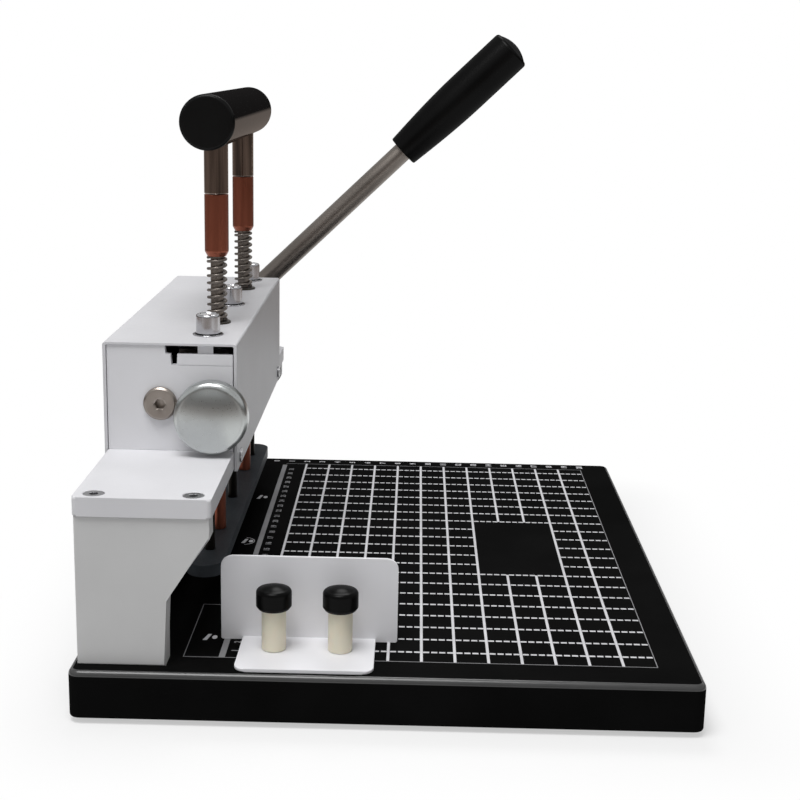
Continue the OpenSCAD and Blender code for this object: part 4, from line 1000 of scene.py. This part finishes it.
def any_ray(nodes, links, kinds):
    """A socket that is 1 for the rays of these kinds."""
    path = nodes.new("ShaderNodeLightPath")
    seen = path.outputs[kinds[0]]
    for kind in kinds[1:]:
        either = nodes.new("ShaderNodeMath")
        either.operation = "MAXIMUM"
        links.new(seen, either.inputs[0])
        links.new(path.outputs[kind], either.inputs[1])
        seen = either.outputs["Value"]
    return seen


def vector_math(nodes, links, operation, vector, second=None):
    """A step of vector arithmetic, as the node that does it."""
    node = nodes.new("ShaderNodeVectorMath")
    node.operation = operation
    links.new(vector, node.inputs[0])
    if second:
        node.inputs[1].default_value = second
    return node


def diffuse(nodes, value):
    """A plain matt grey."""
    matt = nodes.new("ShaderNodeBsdfDiffuse")
    matt.inputs["Color"].default_value = (*grey(value), 1)
    return matt.outputs["BSDF"]


def mixed(nodes, links, factor, first, second):
    """Two shaders, mixed by a factor."""
    mix = nodes.new("ShaderNodeMixShader")
    links.new(factor, mix.inputs["Fac"])
    links.new(first, mix.inputs[1])
    links.new(second, mix.inputs[2])
    return mix.outputs["Shader"]


def floor_material():
    """A pale table: its shadow beside the base is seen to run out to plain white, and its bounce is grey."""
    mat = bpy.data.materials.new("pale_floor")
    mat.use_nodes = True
    nodes, links = mat.node_tree.nodes, mat.node_tree.links
    shadow_reach, least_white, table_grey, bounce_grey = 0.07, 0.5, 0.9, 0.5
    place = nodes.new("ShaderNodeTexCoord").outputs["Object"]
    quadrant = vector_math(nodes, links, "ABSOLUTE", place).outputs["Vector"]
    corner = (BASE.x1 * MM, BASE.y1 * MM, 0)
    beside = vector_math(nodes, links, "SUBTRACT", quadrant, corner).outputs["Vector"]
    outside = vector_math(nodes, links, "MAXIMUM", beside, (0, 0, 0)).outputs["Vector"]
    distance = vector_math(nodes, links, "LENGTH", outside).outputs["Value"]
    fade = ranged(nodes, links, distance, (0, shadow_reach), (least_white, 1), "SMOOTHSTEP")
    white = nodes.new("ShaderNodeEmission").outputs["Emission"]
    shown = mixed(nodes, links, fade, diffuse(nodes, table_grey), white)
    surface = mixed(nodes, links, any_ray(nodes, links, SEEN), diffuse(nodes, bounce_grey), shown)
    links.new(surface, nodes["Material Output"].inputs["Surface"])
    return mat


def table_floor():
    """The floor that the machine stands on."""
    bm = bmesh.new()
    bmesh.ops.create_grid(bm, x_segments=2, y_segments=2, size=FLOOR_HALF)
    floor = raw_object("floor", bm)
    floor.data.materials.append(floor_material())


def studio_world():
    """Grey light, stronger from the front left. The camera sees white, and gloss sees a room with a dark
    skyline."""
    world = bpy.data.worlds.new("studio")
    scene.world = world
    world.use_nodes = True
    nodes, links = world.node_tree.nodes, world.node_tree.links
    front_left, light_range, everywhere = (-0.6, -0.8, 0), (0.1, 0.5), (-1, 1)
    direction = nodes.new("ShaderNodeTexCoord").outputs["Generated"]
    front = vector_math(nodes, links, "DOT_PRODUCT", direction, front_left).outputs["Value"]
    light = nodes["Background"]
    links.new(ranged(nodes, links, front, everywhere, light_range), light.inputs["Color"])

    parts = nodes.new("ShaderNodeSeparateXYZ")
    links.new(direction, parts.inputs["Vector"])
    height = ranged(nodes, links, parts.outputs["Z"], everywhere, (0, 1))
    room = ramp(nodes, links, height, [((z + 1) / 2, colour) for z, colour in ROOM])
    pale = nodes.new("ShaderNodeMixRGB")
    pale.inputs["Color2"].default_value = (*PLAIN, 1)
    links.new(any_ray(nodes, links, SEEN[:1]), pale.inputs["Fac"])
    links.new(room, pale.inputs["Color1"])
    shown = nodes.new("ShaderNodeBackground")
    links.new(pale.outputs["Color"], shown.inputs["Color"])
    seen = any_ray(nodes, links, SEEN)
    surface = mixed(nodes, links, seen, light.outputs["Background"], shown.outputs["Background"])
    links.new(surface, nodes["World Output"].inputs["Surface"])


def lamp(name, place, size, power):
    """A round soft lamp over the machine."""
    light = bpy.data.lights.new(name, "AREA")
    light.shape = "DISK"
    light.size = size
    light.energy = power
    made = bpy.data.objects.new(name, light)
    made.location = place
    made.rotation_euler = (Vector(SUBJECT) - Vector(place)).to_track_quat("-Z", "Y").to_euler()
    scene.collection.objects.link(made)


def photo_camera():
    """The camera fitted to the ruled grid: its place in mm, its three angles, and its focal length and
    the picture's width in pixels."""
    place = Vector((8.06, -765.31, 285.25)) * MM
    pitch, yaw, roll = math.radians(13.101), math.radians(-0.4686), math.radians(1.1751)
    focal, picture, sensor = 1462.97, 800, 36
    forward = Vector((math.sin(yaw) * math.cos(pitch), math.cos(yaw) * math.cos(pitch), -math.sin(pitch)))
    level = Vector((math.cos(yaw), -math.sin(yaw), 0))
    above = level.cross(forward)
    right = math.cos(roll) * level + math.sin(roll) * above
    up = math.cos(roll) * above - math.sin(roll) * level
    camera = bpy.data.objects.new("camera", bpy.data.cameras.new("camera"))
    camera.data.sensor_width = sensor
    camera.data.lens = focal / picture * sensor
    camera.data.clip_start = 0.01
    turned = Matrix((right, up, -forward)).transposed().to_4x4()
    camera.matrix_world = Matrix.Translation(place) @ turned
    scene.collection.objects.link(camera)
    scene.camera = camera


table_floor()
studio_world()
lamp("softbox", (-0.2, -0.45, 1.25), size=0.7, power=11.5)
lamp("top_light", (0, 0.55, 1.0), size=0.45, power=2.8)
photo_camera()
scene.view_settings.view_transform = "Standard"
